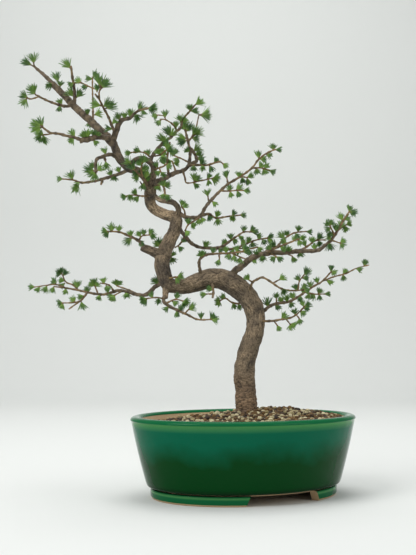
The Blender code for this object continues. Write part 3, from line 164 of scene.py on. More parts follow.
# %% Leafy sprays: limbs as above, tufts as (root x, root y, tip x, tip y)
SPRAYS = {
    "spray_leader": {
        "limbs": [
            ([(114, 145, 0), (107, 136.5, 1), (99.6, 130, 3), (93, 123.4, 6), (86.3, 117, 8),
              (79.5, 111, 10), (73, 105, 12), (64.2, 95.4, 15), (58, 89.2, 17.5), (52, 83.4, 20)],
             5.0, 3.6),
            ([(53.5, 85, 19.5), (48, 78.8, 22.5), (44.5, 75.2, 24), (39, 70.8, 27), (33.6, 65.8, 30)],
             2.8, 1.4),
            ([(74.5, 103, 11), (74.3, 90, 6), (72.6, 79, 2), (71, 66, -2)], 2.1, 1.2),
            ([(73.5, 83, 2), (80, 82.5, -4), (88, 86, -9), (95, 89, -12)], 1.1, 0.8),
            ([(93, 119, 6), (93, 104, 16), (92.5, 90, 24), (92.5, 77, 30)], 1.2, 0.8),
            ([(73, 104, 11), (67, 106.3, 6), (61, 105.4, 1), (53.5, 103, -4), (45, 99.6, -9), (36, 95, -15)],
             2.0, 1.1),
            ([(38, 97, -12), (31, 99, -8), (27, 98, -6)], 0.9, 0.8),
            ([(112, 141, -2), (116, 132, -8), (119, 124, -14), (123, 119.5, -18), (130, 118, -22),
              (138, 111, -27), (149, 108, -32)], 4.2, 1.0),
            ([(115.5, 134, -8), (112, 126, -16), (108, 116, -22), (103.5, 108, -27),
              (99, 99, -31), (95, 94, -34)], 1.7, 0.9),
            ([(99.5, 99, -31), (99, 93, -36), (101, 88, -40)], 1.0, 0.9),
            ([(111, 139, -3), (102, 137, -8), (95, 137.4, -12), (87, 139.6, -17), (80, 140.2, -20)],
             3.2, 3.2),
            ([(81.5, 140.2, -19), (76, 138, -22), (68.6, 136.2, -25), (57.6, 133.6, -29),
              (50, 132.6, -32), (42, 126.8, -36)], 2.0, 1.1),
            ([(54, 133, -31), (47, 134.5, -25), (40, 134.5, -20)], 0.9, 0.7),
        ],
        "tufts": [
            (34, 66, 32.5, 51), (33, 66, 20, 59), (58, 82, 55, 72), (60, 87, 61, 80),
            (53, 83, 46, 88), (71, 69, 62, 59), (76, 98, 83, 89), (74, 97, 66, 87),
            (74, 83, 70, 85), (81, 83, 76, 79), (88, 86, 82, 88), (93, 79, 84, 78),
            (93, 78, 97, 71), (97, 92, 97, 83), (94, 115, 104, 112),
            (88, 115, 87, 108), (62, 105, 58, 98), (60, 105, 59, 112), (36, 95, 27, 85),
            (35, 94, 31, 83), (28, 98, 19, 93), (27, 98, 21, 108), (90, 120, 90, 129),
            (120, 121, 117, 112), (125, 119, 124, 111), (130, 118, 131, 107), (138, 111, 144, 103),
            (142, 109, 143, 112), (148, 108, 159, 107), (148, 108, 155, 111), (135, 114, 140, 122),
            (104.5, 109, 118, 103), (101.5, 106, 89, 102), (101, 88, 104.5, 75), (100.5, 88, 96.5, 72.5),
            (101, 89, 111, 78), (113, 129, 103, 128), (112, 124, 117, 119), (103, 107, 113, 100),
            (94, 137, 93, 129), (88, 138, 87, 127), (85, 138, 81, 131), (75, 137, 69, 129),
            (93, 140, 98, 145), (74, 138, 70, 142), (43, 127, 38, 118), (42, 126, 28, 123),
            (42, 127, 30, 132), (44, 135, 36, 132), (43, 135, 45, 144), (41, 135, 36, 143),
            (90, 139, 83, 133), (96, 138, 99, 131),
        ],
    },
    "spray_left_knob": {
        "limbs": [
            ([(117, 157, -1), (110, 154.5, -8), (103, 156.5, -13), (97, 159, -17), (95.5, 165, -20),
              (96, 172, -23)], 2.4, 1.6),
            ([(104, 156.5, -12), (105.5, 161, -10)], 1.6, 1.2),
        ],
        "tufts": [
            (106, 155, 103, 146), (105.5, 161, 107, 170), (95, 171, 83, 169), (96, 172, 87, 178),
            (96, 173, 95, 179), (97, 171, 104, 165), (96, 166, 90, 165),
        ],
    },
    "spray_left_crook": {
        "limbs": [
            ([(130, 169, 2), (119, 174, 9), (106, 178, 15), (95, 181, 20), (82, 182.7, 25),
              (73, 180, 29), (63, 179, 32)], 2.3, 0.8),
            ([(103, 179, 16), (101, 184.5, 14)], 1.5, 1.3),
        ],
        "tufts": [
            (73, 180, 68, 169), (79, 182, 73, 195), (120, 173, 117, 166), (112, 176, 108, 170),
            (63, 179, 56, 179), (80, 182, 74, 187), (114, 175, 114, 182),
        ],
    },
    "spray_crown_front": {
        "limbs": [
            ([(147, 184, -3), (144, 179, -13), (139, 174, -19), (134, 169, -24), (130, 163, -28)],
             1.5, 0.9),
            ([(143, 178, -14), (141, 170, -21), (142, 163, -26)], 1.0, 0.8),
        ],
        "tufts": [
            (144, 180, 148, 169), (143, 178, 139, 169), (140, 175, 131, 173), (139, 176, 133, 180),
            (136, 171, 127, 161), (131, 165, 124, 158), (142, 166, 136, 160), (142, 164, 145, 155),
            (145, 182, 151, 176), (141, 172, 149, 164), (144, 182, 142, 191),
        ],
    },
    "spray_crown_arch": {
        "limbs": [
            ([(150, 163, -8), (151.5, 157.5, -6), (157, 149.5, 0), (163, 143, 6), (170, 138, 12),
              (176, 132, 17), (181, 127, 21), (182, 121, 25), (189, 112, 29), (195.5, 104.5, 33)],
             2.4, 1.0),
            ([(151, 158, -6), (145, 153, -12), (139, 152, -17), (130, 152.5, -23)], 0.9, 0.7),
            ([(177, 131, 18), (173, 124.5, 12), (165, 119.5, 6), (160, 119.5, 2)], 1.0, 0.7),
            ([(165.5, 120, 6), (164, 116, 10), (158, 115, 14)], 0.7, 0.6),
            ([(153, 156, -3), (160, 155, -12), (166, 150, -20)], 1.0, 0.8),
        ],
        "tufts": [
            (195, 105, 204.5, 98.5), (190, 111, 189, 103), (190, 111, 200, 110.5), (181, 122, 179, 113),
            (176, 129, 175, 119), (165, 118, 165, 109), (158, 115, 153, 117), (161, 120, 157, 124),
            (171, 137, 164, 125), (170, 138, 174, 128), (164, 142, 157, 135), (163, 143, 166, 134),
            (162, 144, 169, 145), (182, 122, 187, 119), (149, 156, 147, 150), (141, 152, 133, 149),
            (131, 153, 125, 153), (166, 150, 170, 142), (165, 151, 175, 149), (160, 155, 156, 149),
            (162, 154, 164, 162), (158, 149, 165, 151),
        ],
    },
    "spray_crown_right": {
        "limbs": [
            ([(151, 183, 6), (161, 180, 12), (168, 176.5, 17), (176, 172.5, 22), (183, 170.5, 27),
              (188, 166.5, 31), (190, 157, 35), (189.5, 148, 40), (187, 137, 45), (185, 129, 50)],
             3.4, 1.2),
            ([(188, 166, 31), (194, 165, 26), (207, 165, 20), (219, 161.8, 14), (223, 164, 11)],
             1.7, 0.8),
            ([(183, 171, 27), (185, 178, 34), (187, 183, 40), (200, 181, 47), (213, 178, 53)],
             1.2, 0.7),
            ([(190, 164, 31), (196.5, 161, 34), (195, 154.5, 37), (191, 148.5, 40)], 2.2, 1.8),
            ([(188, 141, 44), (192, 137, 50), (196, 128, 56), (199, 114, 62)], 1.3, 0.7),
            ([(169, 176, 18), (167.5, 166, 12), (167.5, 156, 6), (170, 142, 0)], 1.7, 0.9),
            ([(188, 162, 33), (180, 158, 40), (173, 155, 46)], 1.0, 0.8),
            ([(176, 172, 22), (174, 166, 26), (172, 161, 30)], 1.1, 0.8),
        ],
        "tufts": [
            (200, 165, 205, 158), (214, 163.5, 218, 158.5), (222.5, 163.5, 227.5, 167),
            (209, 165, 213.5, 173),
            (202, 165, 203, 171), (194, 182, 195, 171), (193, 182.4, 199.5, 189), (208, 179, 209.5, 186),
            (195, 181.8, 200.5, 175.5), (197, 160, 205.5, 156), (211, 178.5, 219.5, 182),
            (207, 179, 211, 173), (213, 178, 221.5, 176), (195, 155, 203, 151.5), (193, 151, 203.5, 145),
            (191.5, 138, 202, 139), (199, 115, 213.5, 111.5),
            (199, 115, 212.5, 117.5), (192, 137, 206.5, 125.5), (187, 138.5, 175, 137),
            (187.5, 140, 176, 144),
            (185, 131, 184, 119), (186, 132, 192, 122), (191, 138, 199.5, 122.5), (190, 152, 184, 148),
            (168, 158, 161, 159), (167.5, 155, 160, 151), (169, 146, 163, 141), (169, 150, 176, 155),
            (174, 155, 177, 148), (178, 157, 175, 163), (173, 163, 181, 163), (172, 161, 166, 163),
            (185, 130, 180, 124), (194, 165, 193, 172),
        ],
    },
    "spray_crown_side": {
        "limbs": [
            ([(152, 171, -7), (159, 168, -14), (164, 166, -20), (167, 163, -25)], 1.1, 0.8),
            ([(159, 168, -14), (161, 172, -19)], 0.8, 0.7),
        ],
        "tufts": [
            (158, 168, 154, 161), (161, 172, 165, 177), (161, 171, 155, 175), (166, 164, 171, 168),
            (165, 165, 162, 159),
        ],
    },
    "spray_hanging": {
        "limbs": [
            ([(154, 187, -3), (161, 184, -10), (164, 188, -14), (165, 194, -18)], 1.6, 1.2),
        ],
        "tufts": [
            (164, 187, 162, 181), (163, 186, 171, 184), (165, 193, 161, 199), (165, 194, 170, 200),
            (160, 185, 157, 191),
        ],
    },
    "spray_left_twig": {
        "limbs": [
            ([(149.5, 196, 4), (141, 196, -9), (134, 195, -14), (126, 196, -18)], 1.1, 0.7),
        ],
        "tufts": [
            (127, 196, 120, 198), (132, 195, 129, 200), (139, 196, 134, 202), (137, 195, 133, 190),
        ],
    },
    "spray_right_fan": {
        "limbs": [
            ([(178, 212, 2), (184, 216.5, 0), (192, 217.7, -3), (200, 216, -6), (205, 208, -9),
              (209, 202.5, -12), (219, 192, -17), (228, 184, -22), (239, 177.5, -28),
              (252, 168, -34), (258, 160, -38), (267, 153, -43), (275, 149.5, -47)], 2.6, 0.8),
            ([(202, 215.5, -6), (209, 214, -1), (216, 218, 4), (228, 216.5, 9), (241, 215, 14)],
             1.8, 0.7),
            ([(200, 217, -6), (194, 221, -12), (188, 225, -17), (185, 231, -21)], 1.1, 0.8),
            ([(221, 191, -18), (229, 191, -24), (236, 190.5, -29), (243, 190.5, -34)], 0.9, 0.7),
            ([(253, 168, -34), (261, 168, -29), (269, 170, -25)], 1.1, 0.7),
            ([(241, 176.5, -28), (247, 177.5, -23)], 0.9, 0.7),
            ([(209, 203, -12), (208, 197, -8)], 1.0, 0.8),
            ([(228, 184, -22), (227, 179, -18)], 1.1, 0.9),
            ([(185, 216.5, 0), (184.5, 211, -5), (181.5, 206.5, -9)], 1.1, 0.9),
        ],
        "tufts": [
            (208, 197, 206, 187), (212, 201, 216, 205), (227, 179, 225, 169.5),
            (181.5, 206.5, 182.5, 201), (182, 207.5, 186.5, 205), (239, 178, 239, 170),
            (242, 177, 243, 182), (247, 177.5, 253, 175), (247, 177.5, 249, 186),
            (229, 191, 230, 186), (230, 191, 231, 195), (236, 190.5, 242, 185),
            (237, 190.5, 240, 198), (243, 190.5, 250, 191), (259, 168, 263, 163),
            (256, 168, 258, 176), (263, 168.5, 267, 176), (264, 168.5, 269, 164),
            (269, 170, 274, 172), (259, 159, 258, 150), (260, 159, 268, 160), (266, 154, 272, 156),
            (273, 150, 273, 146), (275, 149.5, 282, 150), (216, 218, 219, 210),
            (217, 218, 219, 226), (208, 215, 212, 222), (232, 216, 236, 210), (230, 216.5, 233, 219),
            (240, 215, 246, 215), (199, 217.5, 198, 226), (201, 216.5, 204, 223),
            (191, 223, 195, 227), (188, 225, 188, 219), (185, 230, 188, 234),
        ],
    },
    "spray_right_back": {
        "limbs": [
            ([(179, 229, 4), (184, 234.5, 14), (189, 241, 22), (194, 245, 28), (202, 247.7, 34),
              (214, 248, 40), (223, 246, 44), (230, 241, 48), (238, 235.5, 52), (244, 232, 56),
              (251, 232, 60)], 2.6, 0.8),
            ([(214, 248, 40), (225, 249.5, 46), (236, 248, 51), (246, 244, 56), (256, 240, 62),
              (268, 238, 67)], 1.6, 0.8),
            ([(237, 247.5, 51), (248, 249, 45), (258, 247, 40)], 1.0, 0.8),
            ([(185, 236, 16), (180, 244, 24), (175, 247.5, 30)], 1.1, 0.8),
        ],
        "tufts": [
            (204, 247.5, 208, 240), (228, 243, 222, 241), (231, 240, 230.5, 232),
            (243, 232, 244.5, 226), (250, 232, 255, 226), (251, 232, 260, 232),
            (238, 235.5, 243, 239), (218, 248, 223, 253), (236, 248, 240, 255),
            (241, 246, 245, 238), (247, 243.5, 250, 236), (252, 241.5, 254, 249),
            (258, 240, 261, 232), (262, 239, 266, 245), (267, 238, 274, 234), (267, 238, 272, 242),
            (248, 249, 251, 256), (257, 247, 263, 252), (181, 243, 186, 237), (178, 246, 183, 251),
            (226, 249, 221, 243), (234, 248, 231, 254), (232, 239.5, 238, 243),
        ],
    },
    "spray_loop": {
        "limbs": [
            ([(200.5, 273, -4), (199, 263, -11), (201, 258, -16), (208, 254.5, -22),
              (220, 253.5, -28), (232, 253, -34), (243, 251.5, -40)], 1.8, 0.9),
            ([(219, 253.5, -28), (219.5, 259, -33)], 1.0, 0.8),
            ([(232, 253, -34), (240, 257, -29), (246, 259, -26)], 0.9, 0.7),
        ],
        "tufts": [
            (203, 257, 204, 249), (203, 257, 198, 252), (219.5, 259, 217, 266), (230, 253, 227, 260),
            (234, 254, 234, 263), (243, 251.5, 247, 244), (242, 252, 250, 250), (237, 252.5, 236, 245),
            (226, 253.5, 226, 247), (240, 257, 239, 264), (212, 254, 214, 248),
        ],
    },
    "spray_right_main": {
        "limbs": [
            ([(231, 277, 5), (235, 271, 3), (243, 265, 1), (250, 259, -2), (258, 255.5, -5),
              (270, 253, -8), (284, 252.5, -10), (300, 251, -12), (317, 250.5, -14),
              (325, 245.5, -17), (332, 239, -20), (338, 230, -24)], 4.4, 1.5),
            ([(338, 230, -24), (343, 221, -28), (349, 212, -32)], 1.5, 0.8),
            ([(262, 255, -6), (268, 250, 2), (277, 246.5, 9), (284, 239, 15), (294, 233, 21),
              (306, 231.5, 27)], 1.7, 0.8),
            ([(299, 251, -12), (307, 246.5, -5), (316, 240.5, 1), (326, 240, 6)], 1.3, 0.8),
            ([(266, 253.5, -7), (274, 249, -18), (286, 244, -27), (299, 239, -35)], 1.5, 0.8),
            ([(331, 240, -20), (340, 243, -27)], 0.9, 0.7),
            ([(335, 236, -22), (330, 226, -31)], 1.1, 0.8),
            ([(338, 230, -24), (346, 225, -14)], 1.0, 0.7),
            ([(284, 252.5, -10), (292, 256, -2)], 0.9, 0.7),
            ([(270, 253, -8), (276, 256.5, -18)], 0.9, 0.7),
        ],
        "tufts": [
            (349, 212, 350, 205), (349, 212, 358, 213), (343, 221, 339, 213), (344, 220, 349, 217),
            (330, 226, 326, 222), (330, 226, 332, 219), (331, 228, 326, 230), (336, 232, 336, 222),
            (346, 225, 351, 223), (345, 226, 346, 232), (340, 228, 342, 221), (334, 236, 330, 234),
            (331, 240, 327, 236), (340, 243, 345, 240), (340, 243, 344, 248), (329, 242, 331, 252),
            (317, 240, 323, 233), (312, 243.5, 312, 236), (319, 240.5, 320, 247), (306, 247, 303, 240),
            (306, 231.5, 311, 232), (298, 232, 299, 225), (295, 233, 300, 240), (288, 236.5, 286, 230),
            (284, 239, 279, 231), (281, 242, 288, 246), (276, 247, 270, 241), (293, 241, 297, 236),
            (299, 239, 306, 237), (298, 239, 301, 246), (286, 244, 281, 239), (280, 246.5, 286, 251),
            (272, 250, 266, 244), (262, 255, 263, 262), (276, 256.5, 270, 261), (276, 256.5, 283, 261),
            (292, 256, 294, 260), (288, 252.5, 289, 245), (300, 251, 301, 257), (315, 250, 314, 244),
            (256, 256, 257, 249), (250, 259, 258, 262),
        ],
    },
    "spray_right_bow": {
        "limbs": [
            ([(250, 290, -6), (252.5, 282.5, -17), (257, 279.5, -23), (263, 277.5, -27),
              (271, 282, -31), (280, 288, -34), (290, 290.5, -37), (303, 290, -40)], 1.5, 0.9),
            ([(253, 282, -17), (249.5, 280.5, -22)], 0.8, 0.7),
            ([(273, 283, -31), (279, 280, -36)], 0.9, 0.7),
            ([(298, 290.5, -39), (299.5, 281, -45), (304, 275, -49)], 0.9, 0.7),
        ],
        "tufts": [
            (249.5, 280.5, 246, 276), (279, 280, 286, 276), (283, 289, 285, 294), (297, 290.5, 294, 284),
            (304, 275, 310, 268), (302, 278, 309, 278), (299.5, 281, 296, 275), (303, 290, 305, 285),
            (303, 290, 310, 291),
        ],
    },
    "spray_right_low": {
        "limbs": [
            ([(258, 316, 3), (268, 307.5, 8), (275, 304, 11), (289, 301.5, 15), (297, 297.5, 19),
              (304, 293, 23), (314, 286, 28), (322, 281.5, 32), (331, 272, 38)], 2.1, 0.9),
            ([(323, 281, 32), (333, 277, 27), (346, 273.5, 22), (356, 268.5, 18), (369, 265, 13)],
             1.0, 0.6),
            ([(305, 292, 24), (314, 294, 32), (324, 294, 39)], 1.2, 0.7),
            ([(276.5, 304, 11), (276.5, 299, 8)], 0.8, 0.7),
        ],
        "tufts": [
            (276.5, 299, 276, 293), (275, 304, 280, 310), (268, 307.5, 266, 296),
            (283, 302.5, 279, 297), (287, 302, 286, 294), (293, 299.5, 292, 292),
            (290, 301.5, 292, 306), (300, 295, 300, 302), (303, 294, 303, 287), (311, 288, 309, 281),
            (318, 283.5, 316, 278), (331, 272, 331, 264), (331, 272, 336, 273), (326, 280, 334, 284),
            (343, 274.5, 347, 268), (343, 274.5, 344, 281), (356, 268.5, 361, 270),
            (364, 266, 366, 260), (315, 294, 310, 300), (324, 294, 329, 294), (318, 294, 321, 288),
            (319, 294, 320, 300), (310, 293, 307, 299),
        ],
    },
    "spray_right_lowest": {
        "limbs": [
            ([(259, 321, -4), (271, 321, -11), (281, 319.5, -16), (290, 318, -20), (297, 314, -24),
              (304, 307, -28)], 1.4, 0.8),
            ([(274, 321, -12), (277, 325, -16)], 0.8, 0.7),
            ([(286, 319, -18), (290, 324, -14)], 0.8, 0.7),
            ([(296, 314.5, -24), (299, 318, -29)], 0.8, 0.7),
        ],
        "tufts": [
            (277, 325, 280, 331), (281, 319.5, 289, 312), (290, 324, 291, 330), (290, 324, 295, 325),
            (295, 315, 294, 307), (299, 318, 300, 323), (304, 307, 302, 301), (304, 307, 312, 302),
            (303, 308, 311, 309), (300, 311, 304, 314),
        ],
    },
    "spray_under_arch": {
        "limbs": [
            ([(212, 284, -5), (213.5, 291, -12), (212.5, 298, -16)], 1.7, 1.2),
            ([(213.3, 294, -14), (207, 294, -19)], 0.9, 0.7),
        ],
        "tufts": [(207, 294, 201, 295), (213, 290, 206, 288)],
    },
    "spray_under_bow": {
        "limbs": [
            ([(244, 299, 6), (239, 303.5, 17), (231, 302, 21), (226, 298.5, 24), (220, 300.5, 27)],
             1.3, 0.7),
        ],
        "tufts": [
            (226, 298.5, 221, 295), (220, 300.5, 218, 305), (233, 302.5, 234, 306),
            (238, 303.5, 241, 310), (221, 300.5, 216, 300),
        ],
    },
    "spray_low_front": {
        "limbs": [
            ([(165.5, 295, -8), (163.5, 301, -14), (169, 306, -18), (177, 310, -22),
              (188, 315, -27), (198, 319.5, -32), (211, 319.5, -37)], 2.3, 0.8),
            ([(164.5, 299, -12), (157, 297.5, -19), (147, 298.5, -26)], 1.1, 0.7),
            ([(166, 303.5, -16), (175, 299.5, -23), (183, 301, -28)], 1.1, 0.7),
            ([(185, 313.5, -26), (188, 310, -30)], 0.8, 0.7),
        ],
        "tufts": [
            (147, 298.5, 142, 306), (147, 298.5, 139, 300), (153, 298, 150, 292), (159, 298, 158, 304),
            (176, 299.5, 178, 293), (183, 301, 190, 302), (183, 301, 185, 307), (172, 301, 178, 305),
            (169, 306, 165, 310), (177, 310, 177, 318), (178, 310.5, 183, 306), (188, 310, 196, 305),
            (201, 319.5, 201, 314), (210, 319.5, 216, 312), (211, 319.5, 220, 321),
        ],
    },
    "spray_left_low": {
        "limbs": [
            ([(165, 282, -2), (156, 286, 6), (151, 291, 10), (145, 295, 13), (137, 294.5, 15),
              (126, 291.5, 17), (118, 290.5, 18), (107, 294, 18), (99, 294.3, 19), (86, 292, 21),
              (77, 290, 23), (66, 288, 26), (54, 286.5, 30)], 2.8, 0.8),
            ([(137, 294, 15), (129, 290, 23), (117, 286, 31)], 1.1, 0.8),
            ([(114, 291.5, 18), (109, 285, 10), (100, 283, 4)], 1.1, 0.7),
            ([(98, 294, 19), (95, 286, 25)], 1.0, 0.8),
            ([(122, 291, 17), (115, 295, 9)], 1.0, 0.7),
            ([(87, 292.5, 21), (82, 299.5, 14), (75, 302.5, 8), (63, 303, 3)], 1.2, 0.7),
            ([(80, 301, 12), (69, 309, 18)], 1.0, 0.8),
            ([(78, 290, 23), (73, 285, 31), (66, 282, 37), (62, 274, 43)], 1.1, 0.7),
            ([(66, 288, 26), (56, 284.5, 20), (45, 285.5, 15), (35, 287, 11)], 0.9, 0.6),
        ],
        "tufts": [
            (160, 284, 151, 277), (117, 286, 113, 279), (117, 286, 121, 280), (104, 284, 103, 278),
            (106, 285, 108, 289), (95, 286, 93, 277), (95, 286, 87, 282), (95, 287, 100, 281),
            (108, 293.5, 107, 286), (115, 295, 111, 302), (115, 295, 107, 298), (126, 292, 127, 299),
            (100, 294.3, 98, 300), (88, 292.5, 87, 287), (84, 296, 78, 297), (63, 303, 57, 303),
            (63, 303, 61, 310), (75, 302, 71, 297), (81, 301, 84, 312), (77, 289, 77, 279),
            (62, 274, 59, 266), (62, 274, 54, 273), (63, 276, 68, 269), (65, 281, 60, 280),
            (65, 283, 60, 287), (54, 286.5, 51, 293), (66, 288, 65, 294), (56, 284.5, 52, 279),
            (47, 285.5, 43, 294), (40, 286.5, 36, 292), (35, 287, 30, 287),
        ],
    },
    "spray_left_mid": {
        "limbs": [
            ([(144, 247, -9), (139, 241, -14), (130, 236.5, -19), (119, 232, -24),
              (108, 231.5, -29)], 2.2, 0.8),
            ([(139, 241, -14), (142, 236, -20), (150, 235, -25)], 0.9, 0.7),
        ],
        "tufts": [
            (132, 237.5, 124, 245), (131, 237, 130, 229), (119, 232, 119, 226), (112, 231.5, 111, 223),
            (108, 231.5, 102, 230), (109, 231.5, 104, 237), (141, 237, 136, 231),
            (144, 235.5, 143, 229), (149, 235, 152, 229), (150, 235, 155, 237), (139, 240, 142, 244),
        ],
    },
    "spray_elbow": {
        "limbs": [([(166, 279, -8), (173, 277.5, -15), (177, 277, -17)], 1.2, 0.9)],
        "tufts": [(177, 277, 185, 275), (175, 277.3, 181, 281)],
    },
    "spray_side": {
        "limbs": [([(162, 251, 4), (160, 246, 9)], 1.2, 1.0)],
        "tufts": [(160, 246, 158, 237), (160, 247, 154, 241)],
    },
    "spray_inside": {
        "limbs": [([(165, 257, 3), (171, 257, 11)], 1.2, 1.0)],
        "tufts": [(171, 257, 174, 251), (171, 257, 174, 264)],
    },
}

print("sprays:", len(SPRAYS), "tufts:", sum(len(s["tufts"]) for s in SPRAYS.values()))

# %% [markdown]
# ## Smooth routes
#
# Twigs bend softly between buds. A Catmull-Rom curve passes through every point that was chosen,
# so the limb stays where the eye saw it, and rings a millimetre or two apart leave room for
# bark, knobs and scars. The rings' own directions are carried along the curve, so that the tube
# doesn't twist.


# %% Routes and rings
def smooth_route(points, step):
    """A Catmull-Rom curve through (place, radius) pairs, with a point about every step."""
    ends = [points[0], *points, points[-1]]
    made = []
    for a, b, c, d in zip(ends, ends[1:], ends[2:], ends[3:]):
        pieces = max(1, round((c[0] - b[0]).length / step))
        for k in range(pieces):
            t = k / pieces
            weights = (-t + 2 * t**2 - t**3, 2 - 5 * t**2 + 3 * t**3, t + 4 * t**2 - 3 * t**3, t**3 - t**2)
            place = sum((w * p[0] for w, p in zip(weights, (a, b, c, d))), Vector()) / 2
            made.append((place, b[1] + (c[1] - b[1]) * t))
    return made + [points[-1]]


def limb_points(limb):
    """(place, radius) pairs of a limb's route, its radius falling evenly from first to last."""
    route, first, last = limb
    count = len(route) - 1
    return [
        (seen(*point), (first + (last - first) * k / count) * MM) for k, point in enumerate(route)
    ]


def carried_frames(places):
    """(along, side, up) at each place of a route, turned as little as the route allows."""
    side = Vector((0, 1, 0.1))
    made = []
    for k, place in enumerate(places):
        along = (places[min(k + 1, len(places) - 1)] - places[max(k - 1, 0)]).normalized()
        side = (side - along * side.dot(along)).normalized()
        made.append((along, side, along.cross(side)))
    return made


sighted_trunk = [(seen(x, y, d), r) for x, y, d, r in TRUNK]
print("points on the trunk's smooth route:", len(smooth_route(sighted_trunk, 2 * MM)))

# %% [markdown]
# ## Bark
#
# An old larch has thin, scaly, grey-brown bark. Low on this trunk it is paler and cracked across,
# where the bark has stretched, and on the arch it breaks into small plates along the grain. The
# trunk and its bare limbs are joined as tubes, then remeshed into one skin with small cubes, so
# that a limb swells out of the trunk as wood does. The cracks are real relief: each point of the
# skin is moved by noise that is laid along and around the limb. The depth of the crack is also
# stored, for the painted shade in the cracks, and so is the pale healed scar where the trunk
# crosses itself. The rest
# of the bark's change from dark to pale is a soft noise, and undersides are darkened as painted shade.

# %% The skin of trunk and bare limbs
SKIN = 0.9 * MM             # cube side of the remesh
ROUTE_STEP = 3 * MM         # between two rings of a tube
TUBE_SIDES = 20
THIN_WOOD = 8 * MM          # radius under which lumps and cracks get shallower
PLATE_ALONG = 8 * MM        # bark plates on the arch
PLATE_ROUND = 2.0 * MM
CRACK_ALONG = 1.9 * MM      # cracks across the grain, low on the trunk
CRACK_ROUND = 8 * MM
CRACK_DEPTH = 0.75 * MM
LUMP = 13 * MM
LUMP_HEIGHT = 1.0 * MM
LOW_BARK = 190 * MM         # height up to which the bark is cracked across
SCAR_PLACE = (160, 211)     # the pale healed scar at the crossing, in the photo's pixels
SCAR_PALE = 10 * MM         # wholly pale out to here
SCAR_REACH = 19 * MM        # and no paler than the rest from here


def tube_mesh(points, sides):
    """(verts, faces) of a closed tube round (place, radius) pairs."""
    places = [place for place, _ in points]
    verts, faces = [], []
    for (place, radius), (_, side, up) in zip(points, carried_frames(places)):
        for k in range(sides):
            angle = math.tau * k / sides
            verts.append(place + radius * (math.cos(angle) * side + math.sin(angle) * up))
    for ring in range(len(points) - 1):
        for k in range(sides):
            n = (k + 1) % sides
            a, b = ring * sides, (ring + 1) * sides
            faces.append((a + k, a + n, b + n, b + k))
    faces.append(tuple(reversed(range(sides))))
    faces.append(tuple(range(len(verts) - sides, len(verts))))
    return verts, faces


def make_skin():
    trunk = smooth_route([(seen(x, y, d), r * MM) for x, y, d, r in TRUNK], ROUTE_STEP)
    routes = [trunk] + [smooth_route(limb_points(limb), ROUTE_STEP) for limb in BARE_LIMBS]
    verts, faces = [], []
    for route in routes:
        more_verts, more_faces = tube_mesh(route, TUBE_SIDES)
        faces += [tuple(v + len(verts) for v in face) for face in more_faces]
        verts += more_verts
    mesh = bpy.data.meshes.new("trunk_bark")
    mesh.from_pydata(verts, [], faces)
    made = bpy.data.objects.new("trunk_bark", mesh)
    bpy.context.scene.collection.objects.link(made)
    remesh = made.modifiers.new("skin", "REMESH")
    remesh.mode = "VOXEL"
    remesh.voxel_size = SKIN
    smooth = made.modifiers.new("soften", "SMOOTH")
    smooth.iterations = 5
    graph = bpy.context.evaluated_depsgraph_get()
    made.data = bpy.data.meshes.new_from_object(made.evaluated_get(graph))
    made.modifiers.clear()
    return made, routes


trunk_bark, bare_routes = make_skin()
print("skin:", len(trunk_bark.data.vertices), "points")


# %% Cracks and plates
def crack_at(around, along, radius, height, seed):
    """How deep the bark is cracked here, from 0 to 1. Near the soil the cracks run round the trunk."""
    low = min(1, max(0, (LOW_BARK - height) / (60 * MM)))
    ring = Vector((math.cos(around), math.sin(around), 0)) * radius
    across = ring / CRACK_ROUND + Vector((seed, 0, along / CRACK_ALONG))
    lengthwise = ring / PLATE_ROUND + Vector((0, seed, along / PLATE_ALONG))
    ridge_low = 1 - abs(noise.noise(across)) * 3.2
    ridge_high = 1 - abs(noise.noise(lengthwise)) * 3.4
    ridge = low * ridge_low + (1 - low) * ridge_high
    return max(0, ridge) ** 1.5


def scar_at(points):
    """How far each point belongs to the healed scar, from 0 to 1."""
    away = np.linalg.norm(points - np.array(seen(*SCAR_PLACE, 0)), axis=1)
    return np.clip((SCAR_REACH - away) / (SCAR_REACH - SCAR_PALE), 0, 1)


def relieve(skin, routes):
    """Moves each point of the skin by lumps and cracks, and stores the crack's depth and the scar."""
    spots = [(n, k) for n, route in enumerate(routes) for k in range(len(route))]
    tree = kdtree.KDTree(len(spots))
    for index, (n, k) in enumerate(spots):
        tree.insert(routes[n][k][0], index)
    tree.balance()
    frames = [carried_frames([place for place, _ in route]) for route in routes]
    cracks = []
    moved = []
    for vert in skin.data.vertices:
        _, index, _ = tree.find(vert.co)
        n, k = spots[index]
        place, radius = routes[n][k]
        along, side, up = frames[n][k]
        offset = vert.co - place
        around = math.atan2(offset.dot(up), offset.dot(side))
        length = k * ROUTE_STEP + offset.dot(along)
        crack = crack_at(around, length, radius, vert.co.z, 7.3 * n)
        fine = noise.noise(vert.co / (1.1 * MM))
        lump = noise.noise(vert.co / LUMP) + 0.5 * noise.noise(vert.co / (0.4 * LUMP))
        thin = min(1, radius / THIN_WOOD)
        shift = lump * LUMP_HEIGHT * thin - crack * CRACK_DEPTH * thin + fine * 0.16 * MM
        moved.append(vert.co + vert.normal * shift)
        cracks.append(crack)
    points = np.array(moved, np.float32)
    skin.data.vertices.foreach_set("co", points.ravel())
    for key, values in (("crack", cracks), ("scar", scar_at(points))):
        skin.data.attributes.new(key, "FLOAT", "POINT").data.foreach_set("value", values)
    skin.data.update()


relieve(trunk_bark, bare_routes)
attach(trunk_bark, "root")
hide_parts("trunk")
